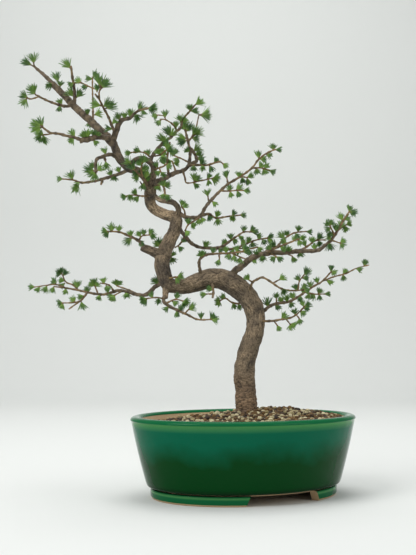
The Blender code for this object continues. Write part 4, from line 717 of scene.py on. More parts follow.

# %% Larch bark: matt, scaly cork in thin plates, with painted shade in the cracks and on the undersides, and paler worn crowns
larch_bark, tree, shader = new_material("larch_bark", 0.86)
crack = add_node(tree, "ShaderNodeAttribute", attribute_name="crack")
where = add_node(tree, "ShaderNodeTexCoord").outputs["Object"]
height = add_node(tree, "ShaderNodeSeparateXYZ", {0: where}).outputs["Z"]
patches = add_node(tree, "ShaderNodeTexNoise", {"Vector": where, "Scale": 1 / (16 * MM), "Detail": 4})
grain = add_node(tree, "ShaderNodeTexNoise", {"Vector": where, "Scale": 1 / (1.6 * MM), "Detail": 3})
low = add_node(
    tree, "ShaderNodeMapRange",
    {"Value": height, "From Min": 0.15, "From Max": 0.11, "To Min": 0.0, "To Max": 0.55},
)
scar = add_node(tree, "ShaderNodeAttribute", attribute_name="scar").outputs["Fac"]
uneven = add_node(
    tree, "ShaderNodeMapRange",
    {"Value": patches.outputs["Fac"], "From Min": 0.3, "From Max": 0.7, "To Min": 0.0, "To Max": 0.7},
)
worn = add_node(tree, "ShaderNodeMath", {0: scar, 1: uneven.outputs[0]}, operation="ADD", use_clamp=True)
brown = add_node(
    tree, "ShaderNodeMix", {0: worn.outputs[0], 6: linear("433c34"), 7: linear("baa282")},
    data_type="RGBA",
)
tan = add_node(
    tree, "ShaderNodeMix", {0: low.outputs[0], 6: brown.outputs[2], 7: linear("a98868")},
    data_type="RGBA",
)
speckle = add_node(
    tree, "ShaderNodeMapRange",
    {"Value": grain.outputs["Fac"], "From Min": 0.35, "From Max": 0.7, "To Min": 0.62, "To Max": 1.25},
)
grained = add_node(
    tree, "ShaderNodeMix", {0: 1.0, 6: tan.outputs[2], 7: speckle.outputs[0]},
    data_type="RGBA", blend_type="MULTIPLY",
)
# Painted shade: bark that faces down is darkened.
normal = add_node(tree, "ShaderNodeNewGeometry").outputs["Normal"]
facing = add_node(tree, "ShaderNodeSeparateXYZ", {0: normal}).outputs["Z"]
painted_underside_shade = add_node(
    tree, "ShaderNodeMapRange",
    {"Value": facing, "From Min": -0.1, "From Max": -0.8, "To Min": 0.0, "To Max": 0.6},
)
shaded = add_node(
    tree, "ShaderNodeMix", {0: painted_underside_shade.outputs[0], 6: grained.outputs[2], 7: linear("3b342a")},
    data_type="RGBA",
)
# Painted shade in the cracks: the deeper the crack, the darker the bark.
crack_shade = add_node(
    tree, "ShaderNodeMapRange",
    {"Value": crack.outputs["Fac"], "From Min": 0.15, "From Max": 0.95, "To Min": 0.0, "To Max": 0.85},
)
crack_shaded = add_node(
    tree, "ShaderNodeMix", {0: crack_shade.outputs[0], 6: shaded.outputs[2], 7: linear("2d241d")},
    data_type="RGBA",
)
# Darker just above the soil line.
soil_line_dark = add_node(
    tree, "ShaderNodeMapRange",
    {"Value": height, "From Min": 0.104, "From Max": 0.092, "To Min": 0.0, "To Max": 0.8},
)
footed = add_node(
    tree, "ShaderNodeMix", {0: soil_line_dark.outputs[0], 6: crack_shaded.outputs[2], 7: linear("2a211b")},
    data_type="RGBA",
)
tree.links.new(footed.outputs[2], shader.inputs["Base Color"])
scales = add_node(
    tree, "ShaderNodeBump", {"Height": grain.outputs["Fac"], "Strength": 0.5, "Distance": 0.4 * MM}
)
tree.links.new(scales.outputs["Normal"], shader.inputs["Normal"])
trunk_bark.data.materials.clear()
trunk_bark.data.materials.append(larch_bark)
trunk_bark.data.shade_smooth()
print("bark cracks cover", round(sum(v.value > 0.4 for v in trunk_bark.data.attributes["crack"].data)
      / len(trunk_bark.data.vertices), 2), "of the trunk")

# %% [markdown]
# ## Twigs and needles
#
# A larch carries its needles in brushes of about thirty on short spurs, which sit along the twig
# like pegs. In spring each brush is narrow at the bud and opens like a shaving brush. The needles
# are modelled one by one as thin three-sided blades, because a card with a picture on it would
# not hold up from the side. All of a spray's twigs, spurs and needles are gathered in lists of
# points and faces and become one mesh, which is quick and keeps the number of pieces small.

# %% Sizes of twigs and needles
TWIG_SIDES = 8
TWIG_STEP = 2.2 * MM
SPUR_RADIUS = 1.0 * MM
NEEDLES_IN_TUFT = 28
TUFT_REACH = (9.5 * MM, 20 * MM)
NEEDLE_REACH = 15 * MM
NEEDLE_WIDE = 1.25 * MM
NEEDLE_THICK = 0.55 * MM
TUFT_OPEN = (math.radians(20), math.radians(42))
NEEDLE_BEND = math.radians(10)
GOLDEN_TURN = math.pi * (3 - math.sqrt(5))
TWIG, NEEDLE = 0, 1         # material places


def new_store():
    return {"verts": [], "faces": [], "kind": [], "tone": [], "along": []}


def add_shape(store, verts, faces, kind, tones, alongs):
    base = len(store["verts"])
    store["verts"] += verts
    store["faces"] += [tuple(base + v for v in face) for face in faces]
    store["kind"] += [kind] * len(faces)
    store["tone"] += tones
    store["along"] += alongs


# %% Twigs with knobs, and needles as blades
def add_twig(store, points, draw):
    """A limb whose thickness swells at old spurs. Young thin wood gets a high tone."""
    route = smooth_route(points, TWIG_STEP)
    knobbed = []
    for k, (place, radius) in enumerate(route):
        knob = 0.35 * min(1, (1.6 * MM / radius) ** 2)
        swell = 1.03 + (knob if k % 4 == 2 else draw.uniform(-0.3, 0.3) * knob)
        wander = Vector((draw.uniform(-1, 1), draw.uniform(-1, 1), draw.uniform(-1, 1))) * 0.12 * radius
        knobbed.append((place + wander, max(0.55 * MM, radius * swell)))
    last, before = knobbed[-1][0], knobbed[-2][0]
    knobbed.append((last + (last - before).normalized() * 0.5 * MM, 0.25 * MM))
    verts, faces = tube_mesh(knobbed, TWIG_SIDES)
    tones = []
    for _, radius in knobbed:
        tones += [min(1, max(0, 1.5 - radius / (1.3 * MM)))] * TWIG_SIDES
    add_shape(store, verts, faces, TWIG, tones, [0.0] * len(verts))


def add_needle(store, bud, way, out, length, tone):
    """One blade from the bud: narrow at its foot, widest past the middle, and pointed."""
    flat = way.cross(out).normalized()
    verts, alongs = [], []
    for share, width in ((0.0, 0.45), (0.45, 1.0), (0.82, 0.8)):
        bent = (way + out * math.tan(NEEDLE_BEND) * share).normalized()
        middle = bud + bent * length * share
        for across, lift in ((-0.5, 0.0), (0.5, 0.0), (0.0, 1.0)):
            verts.append(middle + flat * across * width * NEEDLE_WIDE + out * lift * width * NEEDLE_THICK)
        alongs += [share] * 3
    verts.append(bud + (way + out * math.tan(NEEDLE_BEND)).normalized() * length)
    alongs.append(1.0)
    faces = [(2, 1, 0)]
    for ring in (0, 3):
        for k in range(3):
            n = (k + 1) % 3
            faces.append((ring + k, ring + n, ring + 3 + n, ring + 3 + k))
    faces += [(6, 7, 9), (7, 8, 9), (8, 6, 9)]
    add_shape(store, verts, faces, NEEDLE, [tone] * 10, alongs)


def add_tuft(store, root, aim, draw):
    """A spur with its bud, and a brush of needles that reach about as far as the aim."""
    way = (aim - root).normalized()
    reach = min(TUFT_REACH[1], max(TUFT_REACH[0], (aim - root).length))
    longest = min(NEEDLE_REACH, 0.88 * reach)
    spur = reach - longest
    bud = root + way * spur
    pegs = [(root, SPUR_RADIUS), (root + way * spur * 0.6, 0.9 * SPUR_RADIUS), (bud, 1.25 * SPUR_RADIUS),
            (bud + way * 0.9 * MM, 0.5 * SPUR_RADIUS)]
    verts, faces = tube_mesh(pegs, 6)
    add_shape(store, verts, faces, TWIG, [draw.uniform(0.3, 0.8)] * len(verts), [0.0] * len(verts))
    side = way.orthogonal().normalized()
    up = way.cross(side)
    start = draw.uniform(0, math.tau)
    open_out = draw.uniform(*TUFT_OPEN)
    tone = draw.uniform(0, 0.6)
    for k in range(NEEDLES_IN_TUFT):
        share = (k + 0.5) / NEEDLES_IN_TUFT
        lean = open_out * math.sqrt(share) * draw.uniform(0.75, 1.15)
        turn = start + k * GOLDEN_TURN
        out = math.cos(turn) * side + math.sin(turn) * up
        straight = way * math.cos(lean) + out * math.sin(lean)
        outward = out * math.cos(lean) - way * math.sin(lean)
        length = longest * draw.uniform(0.66, 1.06)
        foot = bud + out * SPUR_RADIUS * 0.7 * math.sqrt(share)
        add_needle(store, foot, straight, outward, length, tone + draw.uniform(0, 0.4))


# %% Build the sprays
def nearest_on(limbs, x, y):
    """How far behind the trunk's plane the limbs are where they are sighted nearest to (x, y)."""
    best = (1e9, 0)
    for route, _, _ in limbs:
        for a, b in zip(route, route[1:]):
            run = (b[0] - a[0], b[1] - a[1])
            t = ((x - a[0]) * run[0] + (y - a[1]) * run[1]) / (run[0] ** 2 + run[1] ** 2)
            t = min(1, max(0, t))
            off = math.hypot(x - a[0] - t * run[0], y - a[1] - t * run[1])
            best = min(best, (off, a[2] + t * (b[2] - a[2])))
    return best[1]


def make_spray(name, spray):
    draw = random.Random(name)
    leans = [(draw.uniform(-6, 6), draw.uniform(0, math.tau)) for _ in spray["tufts"]]
    store = new_store()
    for limb in spray["limbs"]:
        add_twig(store, limb_points(limb), draw)
    for (x0, y0, x1, y1), (lean, _) in zip(spray["tufts"], leans):
        behind = nearest_on(spray["limbs"], x0, y0)
        add_tuft(store, seen(x0, y0, behind), seen(x1, y1, behind + lean), draw)
    mesh = bpy.data.meshes.new(name + "_needles")
    mesh.from_pydata(store["verts"], [], store["faces"])
    for key in ("tone", "along"):
        mesh.attributes.new(key, "FLOAT", "POINT").data.foreach_set("value", store[key])
    mesh.polygons.foreach_set("material_index", store["kind"])
    made = bpy.data.objects.new(name + "_needles", mesh)
    bpy.context.scene.collection.objects.link(made)
    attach(made, "root")
    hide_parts(name)
    return made


spray_pieces = [make_spray(name, spray) for name, spray in SPRAYS.items()]
print("faces in all sprays:", sum(len(piece.data.polygons) for piece in spray_pieces))

# %% Twig bark: dull and grey on old wood, orange-brown where it grew last year
twig_bark, tree, shader = new_material("twig_bark", 0.75)
tone = add_node(tree, "ShaderNodeAttribute", attribute_name="tone").outputs["Fac"]
where = add_node(tree, "ShaderNodeTexCoord").outputs["Object"]
mottle = add_node(tree, "ShaderNodeTexNoise", {"Vector": where, "Scale": 1 / (5 * MM), "Detail": 4})
age = add_node(
    tree, "ShaderNodeMix", {0: tone, 6: linear("665845"), 7: linear("83693e")}, data_type="RGBA"
)
shade = add_node(
    tree, "ShaderNodeMapRange",
    {"Value": mottle.outputs["Fac"], "From Min": 0.35, "From Max": 0.65, "To Min": 0.42, "To Max": 1.45},
)
mottled = add_node(
    tree, "ShaderNodeMix", {0: 1.0, 6: age.outputs[2], 7: shade.outputs[0]},
    data_type="RGBA", blend_type="MULTIPLY",
)
tree.links.new(mottled.outputs[2], shader.inputs["Base Color"])
rings = add_node(
    tree, "ShaderNodeBump", {"Height": mottle.outputs["Fac"], "Strength": 0.5, "Distance": 0.3 * MM}
)
tree.links.new(rings.outputs["Normal"], shader.inputs["Normal"])

# %% Larch needles: soft, slightly waxy leaves, yellow-green at the foot and bluer at the tip
larch_needles, tree, shader = new_material("larch_needles", 0.48, 1.42)
tone = add_node(tree, "ShaderNodeAttribute", attribute_name="tone").outputs["Fac"]
along = add_node(tree, "ShaderNodeAttribute", attribute_name="along").outputs["Fac"]
leafage = add_node(
    tree, "ShaderNodeMix", {0: tone, 6: linear("284f28"), 7: linear("88ac4c")}, data_type="RGBA"
)
footward = add_node(
    tree, "ShaderNodeMapRange",
    {"Value": along, "From Min": 0.0, "From Max": 0.35, "To Min": 0.75, "To Max": 0.0},
)
fresh = add_node(
    tree, "ShaderNodeMix", {0: footward.outputs[0], 6: leafage.outputs[2], 7: linear("90aa50")},
    data_type="RGBA",
)
tipward = add_node(
    tree, "ShaderNodeMapRange",
    {"Value": along, "From Min": 0.5, "From Max": 1.0, "To Min": 0.0, "To Max": 0.5},
)
blued = add_node(
    tree, "ShaderNodeMix", {0: tipward.outputs[0], 6: fresh.outputs[2], 7: linear("427346")},
    data_type="RGBA",
)
tree.links.new(blued.outputs[2], shader.inputs["Base Color"])
shader.inputs["Subsurface Weight"].default_value = 0.15
shader.inputs["Subsurface Radius"].default_value = (0.6 * MM, 1.0 * MM, 0.3 * MM)
for piece in spray_pieces:
    piece.data.materials.append(twig_bark)
    piece.data.materials.append(larch_needles)
print("materials on a spray:", [m.name for m in spray_pieces[0].data.materials])

# %% [markdown]
# ## The pot
#
# The pot is stoneware, pressed in a mould and glazed on the outside and over the lip. Its wall
# flares up to a rounded lip, and under it a groove sets off a low foot band, cut away at front
# and back so that water can run out. The oval is turned against the picture, which is why one
# opening shows at the right. One profile is swept round the oval, and the foot is swept part of
# the way. The glaze goes on the faces that the potter dipped, and bare clay on the rest.

# %% Sizes of the pot
RIM_HALF = (141.5 * MM, 113.3 * MM)
POT_HEIGHT = 94.7 * MM
POT_TURN = math.radians(28.9)
SHARE_AT_BASE = 0.85
BELLY = 0.05
SHARE_OF_FOOT = 0.822
SHARE_OF_GROOVE = 0.803
WALL_FOOT = 15 * MM
FOOT_HEIGHT = 11 * MM
FOOT_THICK = 9 * MM
WALL = 10.5 * MM
FLOOR = 9 * MM
HAUNCH = 7 * MM
LIP = 4.4 * MM
WINDOW_HALF = math.radians(22.3)
CUT_FLARE = 0.045           # the foot's cuts slope: each opening is this angle wider at its foot
PLAN_STEPS = 192


def plan_point(share, angle):
    """A point of the pot's oval plan, its half sizes this share of the rim's."""
    x, y = share * RIM_HALF[0] * math.cos(angle), share * RIM_HALF[1] * math.sin(angle)
    return (
        x * math.cos(POT_TURN) - y * math.sin(POT_TURN),
        x * math.sin(POT_TURN) + y * math.cos(POT_TURN),
    )


def wall_share(height):
    """The outer wall's plan at a height, as a share of the rim's. It bellies a little."""
    t = (height - FOOT_HEIGHT) / (POT_HEIGHT - FOOT_HEIGHT)
    return SHARE_AT_BASE + (1 - SHARE_AT_BASE) * (t + BELLY * math.sin(math.pi * t))


def inner_share(height):
    """The inside, which is straight from the haunch up to just under the lip."""
    low, high = FOOT_HEIGHT + FLOOR + HAUNCH, POT_HEIGHT - LIP
    t = (height - low) / (high - low)
    return wall_share(low) + (wall_share(high) - wall_share(low)) * t - WALL / RIM_HALF[1]


def arc(centre, radii, start, end, steps):
    """(share, height) points of a rounded corner in the pot's section. Angles are in degrees."""
    return [
        (
            centre[0] + radii[0] * math.cos(math.radians(a)) / RIM_HALF[1],
            centre[1] + radii[1] * math.sin(math.radians(a)),
        )
        for a in np.linspace(start, end, steps)
    ]


def swept(section, steps, start, sweep, closed_section, flare=0.0):
    """Faces from a section swept round the pot's plan. A whole turn has its ends filled level.

    Each end of a part turn draws in by the flare at the underside, so that its cut slopes.
    """
    whole = abs(sweep - math.tau) < 1e-6
    rows = steps if whole else steps + 1
    bm = bmesh.new()
    grid = []
    for k in range(rows):
        row = []
        for share, height in section:
            draw_in = flare * (1 - height / FOOT_HEIGHT) * (1 - 2 * k / steps)
            angle = start + sweep * k / steps + draw_in
            row.append(bm.verts.new((*plan_point(share, angle), height)))
        grid.append(row)
    for k in range(steps):
        near, far = grid[k], grid[(k + 1) % rows]
        for i in range(len(section) if closed_section else len(section) - 1):
            n = (i + 1) % len(section)
            bm.faces.new((near[i], far[i], far[n], near[n]))
    if whole:
        bm.faces.new([row[0] for row in reversed(grid)])
        bm.faces.new([row[-1] for row in grid])
    else:
        bm.faces.new(list(reversed(grid[0])))
        bm.faces.new(grid[-1])
    bmesh.ops.recalc_face_normals(bm, faces=bm.faces)
    return bm


# %% The pot's body and foot
GLAZE, CLAY = 0, 1
GLAZE_INSIDE = 3.5 * MM     # how far the glaze runs down inside the lip
FOOT_WIPED = 2 * MM         # how far up the foot the glaze was wiped off


def pot_section():
    """The body's profile from the middle of the underside, round the lip, to the inner floor."""
    floor_top = FOOT_HEIGHT + FLOOR
    rim = wall_share(POT_HEIGHT)
    half = WALL / 2 / RIM_HALF[1]
    section = [
        (SHARE_OF_GROOVE - 0.03, FOOT_HEIGHT), (SHARE_OF_GROOVE - 0.026, FOOT_HEIGHT),
        (SHARE_OF_GROOVE, FOOT_HEIGHT + 1.4 * MM), (SHARE_OF_GROOVE, WALL_FOOT - 2 * MM),
    ]
    turn_in = 3 * MM        # radius of the wall's rounded foot
    round_foot = (wall_share(WALL_FOOT) - turn_in / RIM_HALF[1], WALL_FOOT + 1.6 * MM)
    section += arc(round_foot, (turn_in, 3.2 * MM), -88, -5, 9)
    section += [(wall_share(z), z) for z in np.linspace(WALL_FOOT + 3 * MM, POT_HEIGHT - LIP - 1 * MM, 22)]
    section += arc((rim - half, POT_HEIGHT - LIP), (WALL / 2, LIP), 0, 180, 17)
    inner = [POT_HEIGHT - LIP - 1 * MM, POT_HEIGHT - 20 * MM, floor_top + HAUNCH]
    section += [(inner_share(z), z) for z in inner]
    return section + [(inner_share(floor_top) - 0.03, floor_top)]


def make_pot():
    body = swept(pot_section(), PLAN_STEPS, 0.0, math.tau, False)
    inner_foot = SHARE_OF_FOOT - FOOT_THICK / RIM_HALF[1]
    roll = 2.4 * MM
    foot = [(inner_foot, 0.0), (SHARE_OF_FOOT - 0.018, 0.0), (SHARE_OF_FOOT - 0.010, 0.6 * MM)]
    foot += [(SHARE_OF_FOOT - 0.003, FOOT_WIPED), (SHARE_OF_FOOT + 0.002, 3.4 * MM)]
    roll_centre = (SHARE_OF_FOOT + 0.002 - roll / RIM_HALF[1], FOOT_HEIGHT - roll + 0.5 * MM)
    foot += arc(roll_centre, (roll, roll), 0, 90, 7)
    foot += [(inner_foot, FOOT_HEIGHT + 0.5 * MM)]
    for side in (0, 1):
        start = -math.pi / 2 + WINDOW_HALF + side * math.pi
        piece = swept(foot, 80, start, math.pi - 2 * WINDOW_HALF, True, CUT_FLARE)
        mesh = bpy.data.meshes.new("foot")
        piece.to_mesh(mesh)
        piece.free()
        body.from_mesh(mesh)
        bpy.data.meshes.remove(mesh)
    bmesh.ops.translate(body, verts=body.verts, vec=POT_MIDDLE)
    for face in body.faces:
        middle = face.calc_center_median() - POT_MIDDLE
        local = Matrix.Rotation(-POT_TURN, 3, "Z") @ middle
        share = math.hypot(local.x / RIM_HALF[0], local.y / RIM_HALF[1])
        low, high = FOOT_HEIGHT + FLOOR - 1 * MM, POT_HEIGHT - GLAZE_INSIDE
        inside = low < middle.z < high and share < wall_share(middle.z) - WALL / 2 / RIM_HALF[1]
        under = middle.z < FOOT_WIPED or (face.normal.z < -0.5 and middle.z < FOOT_HEIGHT + 1 * MM)
        cut_end = len(face.verts) > 4 and middle.z < FOOT_HEIGHT and abs(face.normal.z) < 0.5
        bare = inside or under or cut_end
        face.material_index = CLAY if bare else GLAZE
        face.smooth = len(face.verts) == 4
    mesh = bpy.data.meshes.new("glazed_pot")
    body.to_mesh(mesh)
    body.free()
    made = bpy.data.objects.new("glazed_pot", mesh)
    bpy.context.scene.collection.objects.link(made)
    made.data.set_sharp_from_angle(angle=math.radians(50))
    return made


pot = make_pot()
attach(pot, "root")
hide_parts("pot")
print("pot faces:", len(pot.data.polygons))

# %% Copper-green glaze: a glassy coat fired on stoneware, thin and pale on edges where a painted highlight also lies, painted shade in the groove, and deep low on the wall under a lighter painted reflection
THIN_GLAZE_AND_HIGHLIGHT = "478a4e"       # pale: the glaze runs thin under the lip and over the foot's roll, with a painted highlight there too
GROOVE_SHADE_GLAZE = "002a0c"     # nearly black: painted shade and a painted dark reflection in the groove
BAND_GLAZE = "12653b"       # on the lip and the foot band
LIP_EDGE = POT_HEIGHT - LIP
GLAZE_BANDS = [             # (height, colour, how much it covers the wall's own colour)
    (1 * MM, BAND_GLAZE, 0.9), (FOOT_HEIGHT - 4 * MM, BAND_GLAZE, 0.9),
    (FOOT_HEIGHT - 2 * MM, THIN_GLAZE_AND_HIGHLIGHT, 1.0), (FOOT_HEIGHT, BAND_GLAZE, 1.0),
    (FOOT_HEIGHT + 1 * MM, GROOVE_SHADE_GLAZE, 1.0), (WALL_FOOT, GROOVE_SHADE_GLAZE, 0.9),
    (WALL_FOOT + 4 * MM, GROOVE_SHADE_GLAZE, 0.0), (LIP_EDGE - 9 * MM, THIN_GLAZE_AND_HIGHLIGHT, 0.0),
    (LIP_EDGE - 1 * MM, THIN_GLAZE_AND_HIGHLIGHT, 1.0), (LIP_EDGE, BAND_GLAZE, 1.0),
    (POT_HEIGHT - 1 * MM, BAND_GLAZE, 1.0),
]
green_glaze, tree, shader = new_material("copper_green_glaze", 0.07, 1.5)
shader.inputs["Specular IOR Level"].default_value = 0.08
where = add_node(tree, "ShaderNodeTexCoord").outputs["Object"]
height = add_node(tree, "ShaderNodeSeparateXYZ", {0: where}).outputs["Z"]
# The wall is dark low and lighter high: a painted reflection of the room, with a wavy lower edge.
cloud = add_node(tree, "ShaderNodeTexNoise", {"Vector": where, "Scale": 1 / (45 * MM), "Detail": 3})
wander = add_node(
    tree, "ShaderNodeMapRange",
    {"Value": cloud.outputs["Fac"], "From Min": 0.3, "From Max": 0.7, "To Min": -7 * MM, "To Max": 7 * MM},
)
run = add_node(tree, "ShaderNodeMath", {0: height, 1: wander.outputs[0]}, operation="ADD")
reflection_band = add_node(
    tree, "ShaderNodeMapRange",
    {"Value": run.outputs[0], "From Min": 46 * MM, "From Max": 70 * MM, "To Min": 0.0, "To Max": 1.0},
)
wall_glaze_and_reflection = add_node(
    tree, "ShaderNodeMix", {0: reflection_band.outputs[0], 6: linear("003d14"), 7: linear("005f44")},
    data_type="RGBA",
)
level = add_node(
    tree, "ShaderNodeMapRange",
    {"Value": height, "From Min": 0.0, "From Max": POT_HEIGHT, "To Min": 0.0, "To Max": 1.0},
)
bands = add_node(tree, "ShaderNodeValToRGB", {0: level.outputs[0]})
ramp = bands.color_ramp
for place, colour, cover in GLAZE_BANDS:
    stop = ramp.elements.new(place / POT_HEIGHT)
    stop.color = (*linear(colour)[:3], cover)
ramp.elements.remove(ramp.elements[0])
ramp.elements.remove(ramp.elements[-1])
banded = add_node(
    tree, "ShaderNodeMix", {0: bands.outputs["Alpha"], 6: wall_glaze_and_reflection.outputs[2], 7: bands.outputs["Color"]},
    data_type="RGBA",
)
tree.links.new(banded.outputs[2], shader.inputs["Base Color"])
ripple = add_node(tree, "ShaderNodeTexNoise", {"Vector": where, "Scale": 1 / (18 * MM), "Detail": 1})
waves = add_node(
    tree, "ShaderNodeBump", {"Height": ripple.outputs["Fac"], "Strength": 0.25, "Distance": 1.2 * MM}
)
tree.links.new(waves.outputs["Normal"], shader.inputs["Normal"])
pot.data.materials.append(green_glaze)

# %% Fired clay: unglazed buff stoneware, matt and sandy, on the inside and under the foot
buff_clay, tree, shader = new_material("buff_stoneware", 0.9)
where = add_node(tree, "ShaderNodeTexCoord").outputs["Object"]
sand = add_node(tree, "ShaderNodeTexNoise", {"Vector": where, "Scale": 1 / (1.2 * MM), "Detail": 4})
buff = add_node(
    tree, "ShaderNodeMix", {0: sand.outputs["Fac"], 6: linear("ab8d68"), 7: linear("d6bb94")},
    data_type="RGBA",
)
tree.links.new(buff.outputs[2], shader.inputs["Base Color"])
tooth = add_node(
    tree, "ShaderNodeBump", {"Height": sand.outputs["Fac"], "Strength": 0.4, "Distance": 0.3 * MM}
)
tree.links.new(tooth.outputs["Normal"], shader.inputs["Normal"])
pot.data.materials.append(buff_clay)
print("pot materials:", [m.name for m in pot.data.materials])

# %% [markdown]
# ## The soil
#
# Bonsai soil is sieved grit, not earth: pale pumice, brown fired clay and dark bark, each grain
# four to six millimetres. It lies lowest at the left wall and is heaped at the trunk. The CAD
# soil gives the ground, and loose grains are laid over it on a staggered grid, each one a copy
# of one of a few knobbly shapes, turned and stretched by a seeded draw. One piece for each kind
# of grain keeps the materials apart.

# %% Lay the grains
SOIL_EDGE = 9.5 * MM
SOIL_TILT = 3.5 * MM
SOIL_MOUND = 14 * MM
GRAIN_RELIEF = 1.6 * MM
GRAIN_APART = 4.2 * MM
ROW_SPACING = 0.866         # rows of a triangular grid, as a share of the spacing in a row
TRUNK_FOOT = (246, 405)     # where the trunk enters the soil, in the photo's pixels
TRUNK_ROOM = 15.5 * MM      # no grain nearer than this to the trunk's middle
GRAIN_RADIUS = (1.7 * MM, 2.9 * MM)
GRAIN_KINDS = {"pumice": 0.25, "fired_clay": 0.66, "pine_bark": 1.0}


def soil_height(share, angle):
    """The soil's surface: low at the wall, heaped at the trunk and to the right, with its grains."""
    rightward = math.cos(angle + POT_TURN)
    heap = (1 - share**2) * SOIL_MOUND * (0.75 + 0.25 * rightward) + share * SOIL_TILT * rightward
    grains = math.sin(37 * share + 3 * math.sin(7 * angle)) * math.sin(11 * angle + 23 * share)
    return POT_HEIGHT - SOIL_EDGE + heap + GRAIN_RELIEF * grains * min(1, 4 * (1 - share))


def grain_shapes(count):
    """A few knobbly stones: points as arrays, and the faces that they share."""
    shapes = []
    for seed in range(count):
        bm = bmesh.new()
        bmesh.ops.create_icosphere(bm, subdivisions=2, radius=1)
        for vert in bm.verts:
            vert.co *= 1 + 0.34 * noise.noise(vert.co * 1.3 + Vector((9.7 * seed, 0, 0)))
            vert.co *= 1 + 0.16 * noise.noise(vert.co * 3.1 + Vector((0, 5.1 * seed, 0)))
        shapes.append(np.array([v.co for v in bm.verts]))
        faces = np.array([[v.index for v in f.verts] for f in bm.faces])
        bm.free()
    return shapes, faces


def grain_places(draw):
    """(x, y, z) on the soil, on a staggered grid with a draw, clear of the trunk and the wall."""
    edge = inner_share(POT_HEIGHT - SOIL_EDGE) - 0.006
    half = [edge * side - 1.6 * MM for side in RIM_HALF]
    trunk_foot = seen(*TRUNK_FOOT, 0)
    rows = int(2 * half[1] / (GRAIN_APART * ROW_SPACING)) + 2
    for layer, keep in ((0.2, 1.0), (2.4, 0.30)):
        for j in range(rows):
            for i in range(int(2 * half[0] / GRAIN_APART) + 2):
                x = -half[0] + (i + 0.5 * (j % 2)) * GRAIN_APART + draw.uniform(-0.3, 0.3) * GRAIN_APART
                y = -half[1] + j * GRAIN_APART * ROW_SPACING + draw.uniform(-0.3, 0.3) * GRAIN_APART
                lift = layer * MM + draw.uniform(-0.7, 0.7) * MM
                share = math.hypot(x / half[0], y / half[1])
                if draw.random() > keep or share > 1:
                    continue
                angle = math.atan2(y / half[1], x / half[0])
                place = POT_MIDDLE + Matrix.Rotation(POT_TURN, 3, "Z") @ Vector((x, y, 0))
                if math.hypot(place.x - trunk_foot.x, place.y - trunk_foot.y) < TRUNK_ROOM:
                    continue
                yield place.x, place.y, soil_height(share, angle) + lift


def make_grains():
    draw = random.Random(5)
    shapes, template = grain_shapes(9)
    heaps = {kind: ([], [], []) for kind in GRAIN_KINDS}
    for place in grain_places(draw):
        pick = draw.random()
        kind = next(name for name, limit in GRAIN_KINDS.items() if pick <= limit)
        shape = draw.choice(shapes)
        radius = draw.uniform(*GRAIN_RADIUS) * (1.08 if kind == "pumice" else 1.0)
        stretch = (1.45, 0.85, 0.7) if kind == "pine_bark" else (1.15, 0.95, 0.85)
        spin = Matrix.Rotation(draw.uniform(0, math.tau), 3, "Z")
        turn = spin @ Matrix.Rotation(draw.uniform(-0.5, 0.5), 3, "X")
        points = (shape * np.array(stretch) * radius) @ np.array(turn.transposed()) + np.array(place)
        verts, faces, tones = heaps[kind]
        faces.append(template + len(verts) * len(shape))
        verts.append(points)
        tones.append(np.full(len(shape), draw.random(), np.float32))
    made = {}
    for kind, (verts, faces, tones) in heaps.items():
        mesh = bpy.data.meshes.new("soil_" + kind)
        mesh.from_pydata(np.concatenate(verts).tolist(), [], np.concatenate(faces).tolist())
        mesh.attributes.new("tone", "FLOAT", "POINT").data.foreach_set("value", np.concatenate(tones))
        made[kind] = bpy.data.objects.new("soil_" + kind, mesh)
        bpy.context.scene.collection.objects.link(made[kind])
        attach(made[kind], "root")
        print(kind, "grains:", len(verts))
    return made


grains = make_grains()


# %% Grit finishes: each grain is dull and pitted, and differs a little from the next
def grit_material(name, dark, light, roughness, pit):
    """A dry mineral or bark grain, between two colours, with pits of this size."""
    made, tree, shader = new_material(name, roughness)
    tone = add_node(tree, "ShaderNodeAttribute", attribute_name="tone").outputs["Fac"]
    where = add_node(tree, "ShaderNodeTexCoord").outputs["Object"]
    pits = add_node(tree, "ShaderNodeTexNoise", {"Vector": where, "Scale": 1 / pit, "Detail": 3})
    mixed = add_node(
        tree, "ShaderNodeMix", {0: tone, 6: linear(dark), 7: linear(light)}, data_type="RGBA"
    )
    shade = add_node(
        tree, "ShaderNodeMapRange",
        {"Value": pits.outputs["Fac"], "From Min": 0.3, "From Max": 0.7, "To Min": 0.65, "To Max": 1.15},
    )
    pitted = add_node(
        tree, "ShaderNodeMix", {0: 1.0, 6: mixed.outputs[2], 7: shade.outputs[0]},
        data_type="RGBA", blend_type="MULTIPLY",
    )
    tree.links.new(pitted.outputs[2], shader.inputs["Base Color"])
    bump = add_node(
        tree, "ShaderNodeBump", {"Height": pits.outputs["Fac"], "Strength": 0.7, "Distance": 0.4 * MM}
    )
    tree.links.new(bump.outputs["Normal"], shader.inputs["Normal"])
    return made


GRITS = {                   # name, dark and pale colour, roughness, size of its mottling
    "pumice": ("dry_pumice", "a5966c", "ddd2ac", 0.92, 1.3 * MM),
    "fired_clay": ("fired_clay_grit", "54402a", "86683f", 0.88, 1.0 * MM),
    "pine_bark": ("pine_bark_chips", "2a2019", "503d2a", 0.8, 0.8 * MM),
}
for kind, look in GRITS.items():
    grains[kind].data.materials.append(grit_material(*look))
earth = grit_material("damp_fines", "2a1f18", "3d2e22", 0.9, 1.5 * MM)
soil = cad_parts["soil"]
soil.data.materials.clear()
soil.data.materials.append(earth)

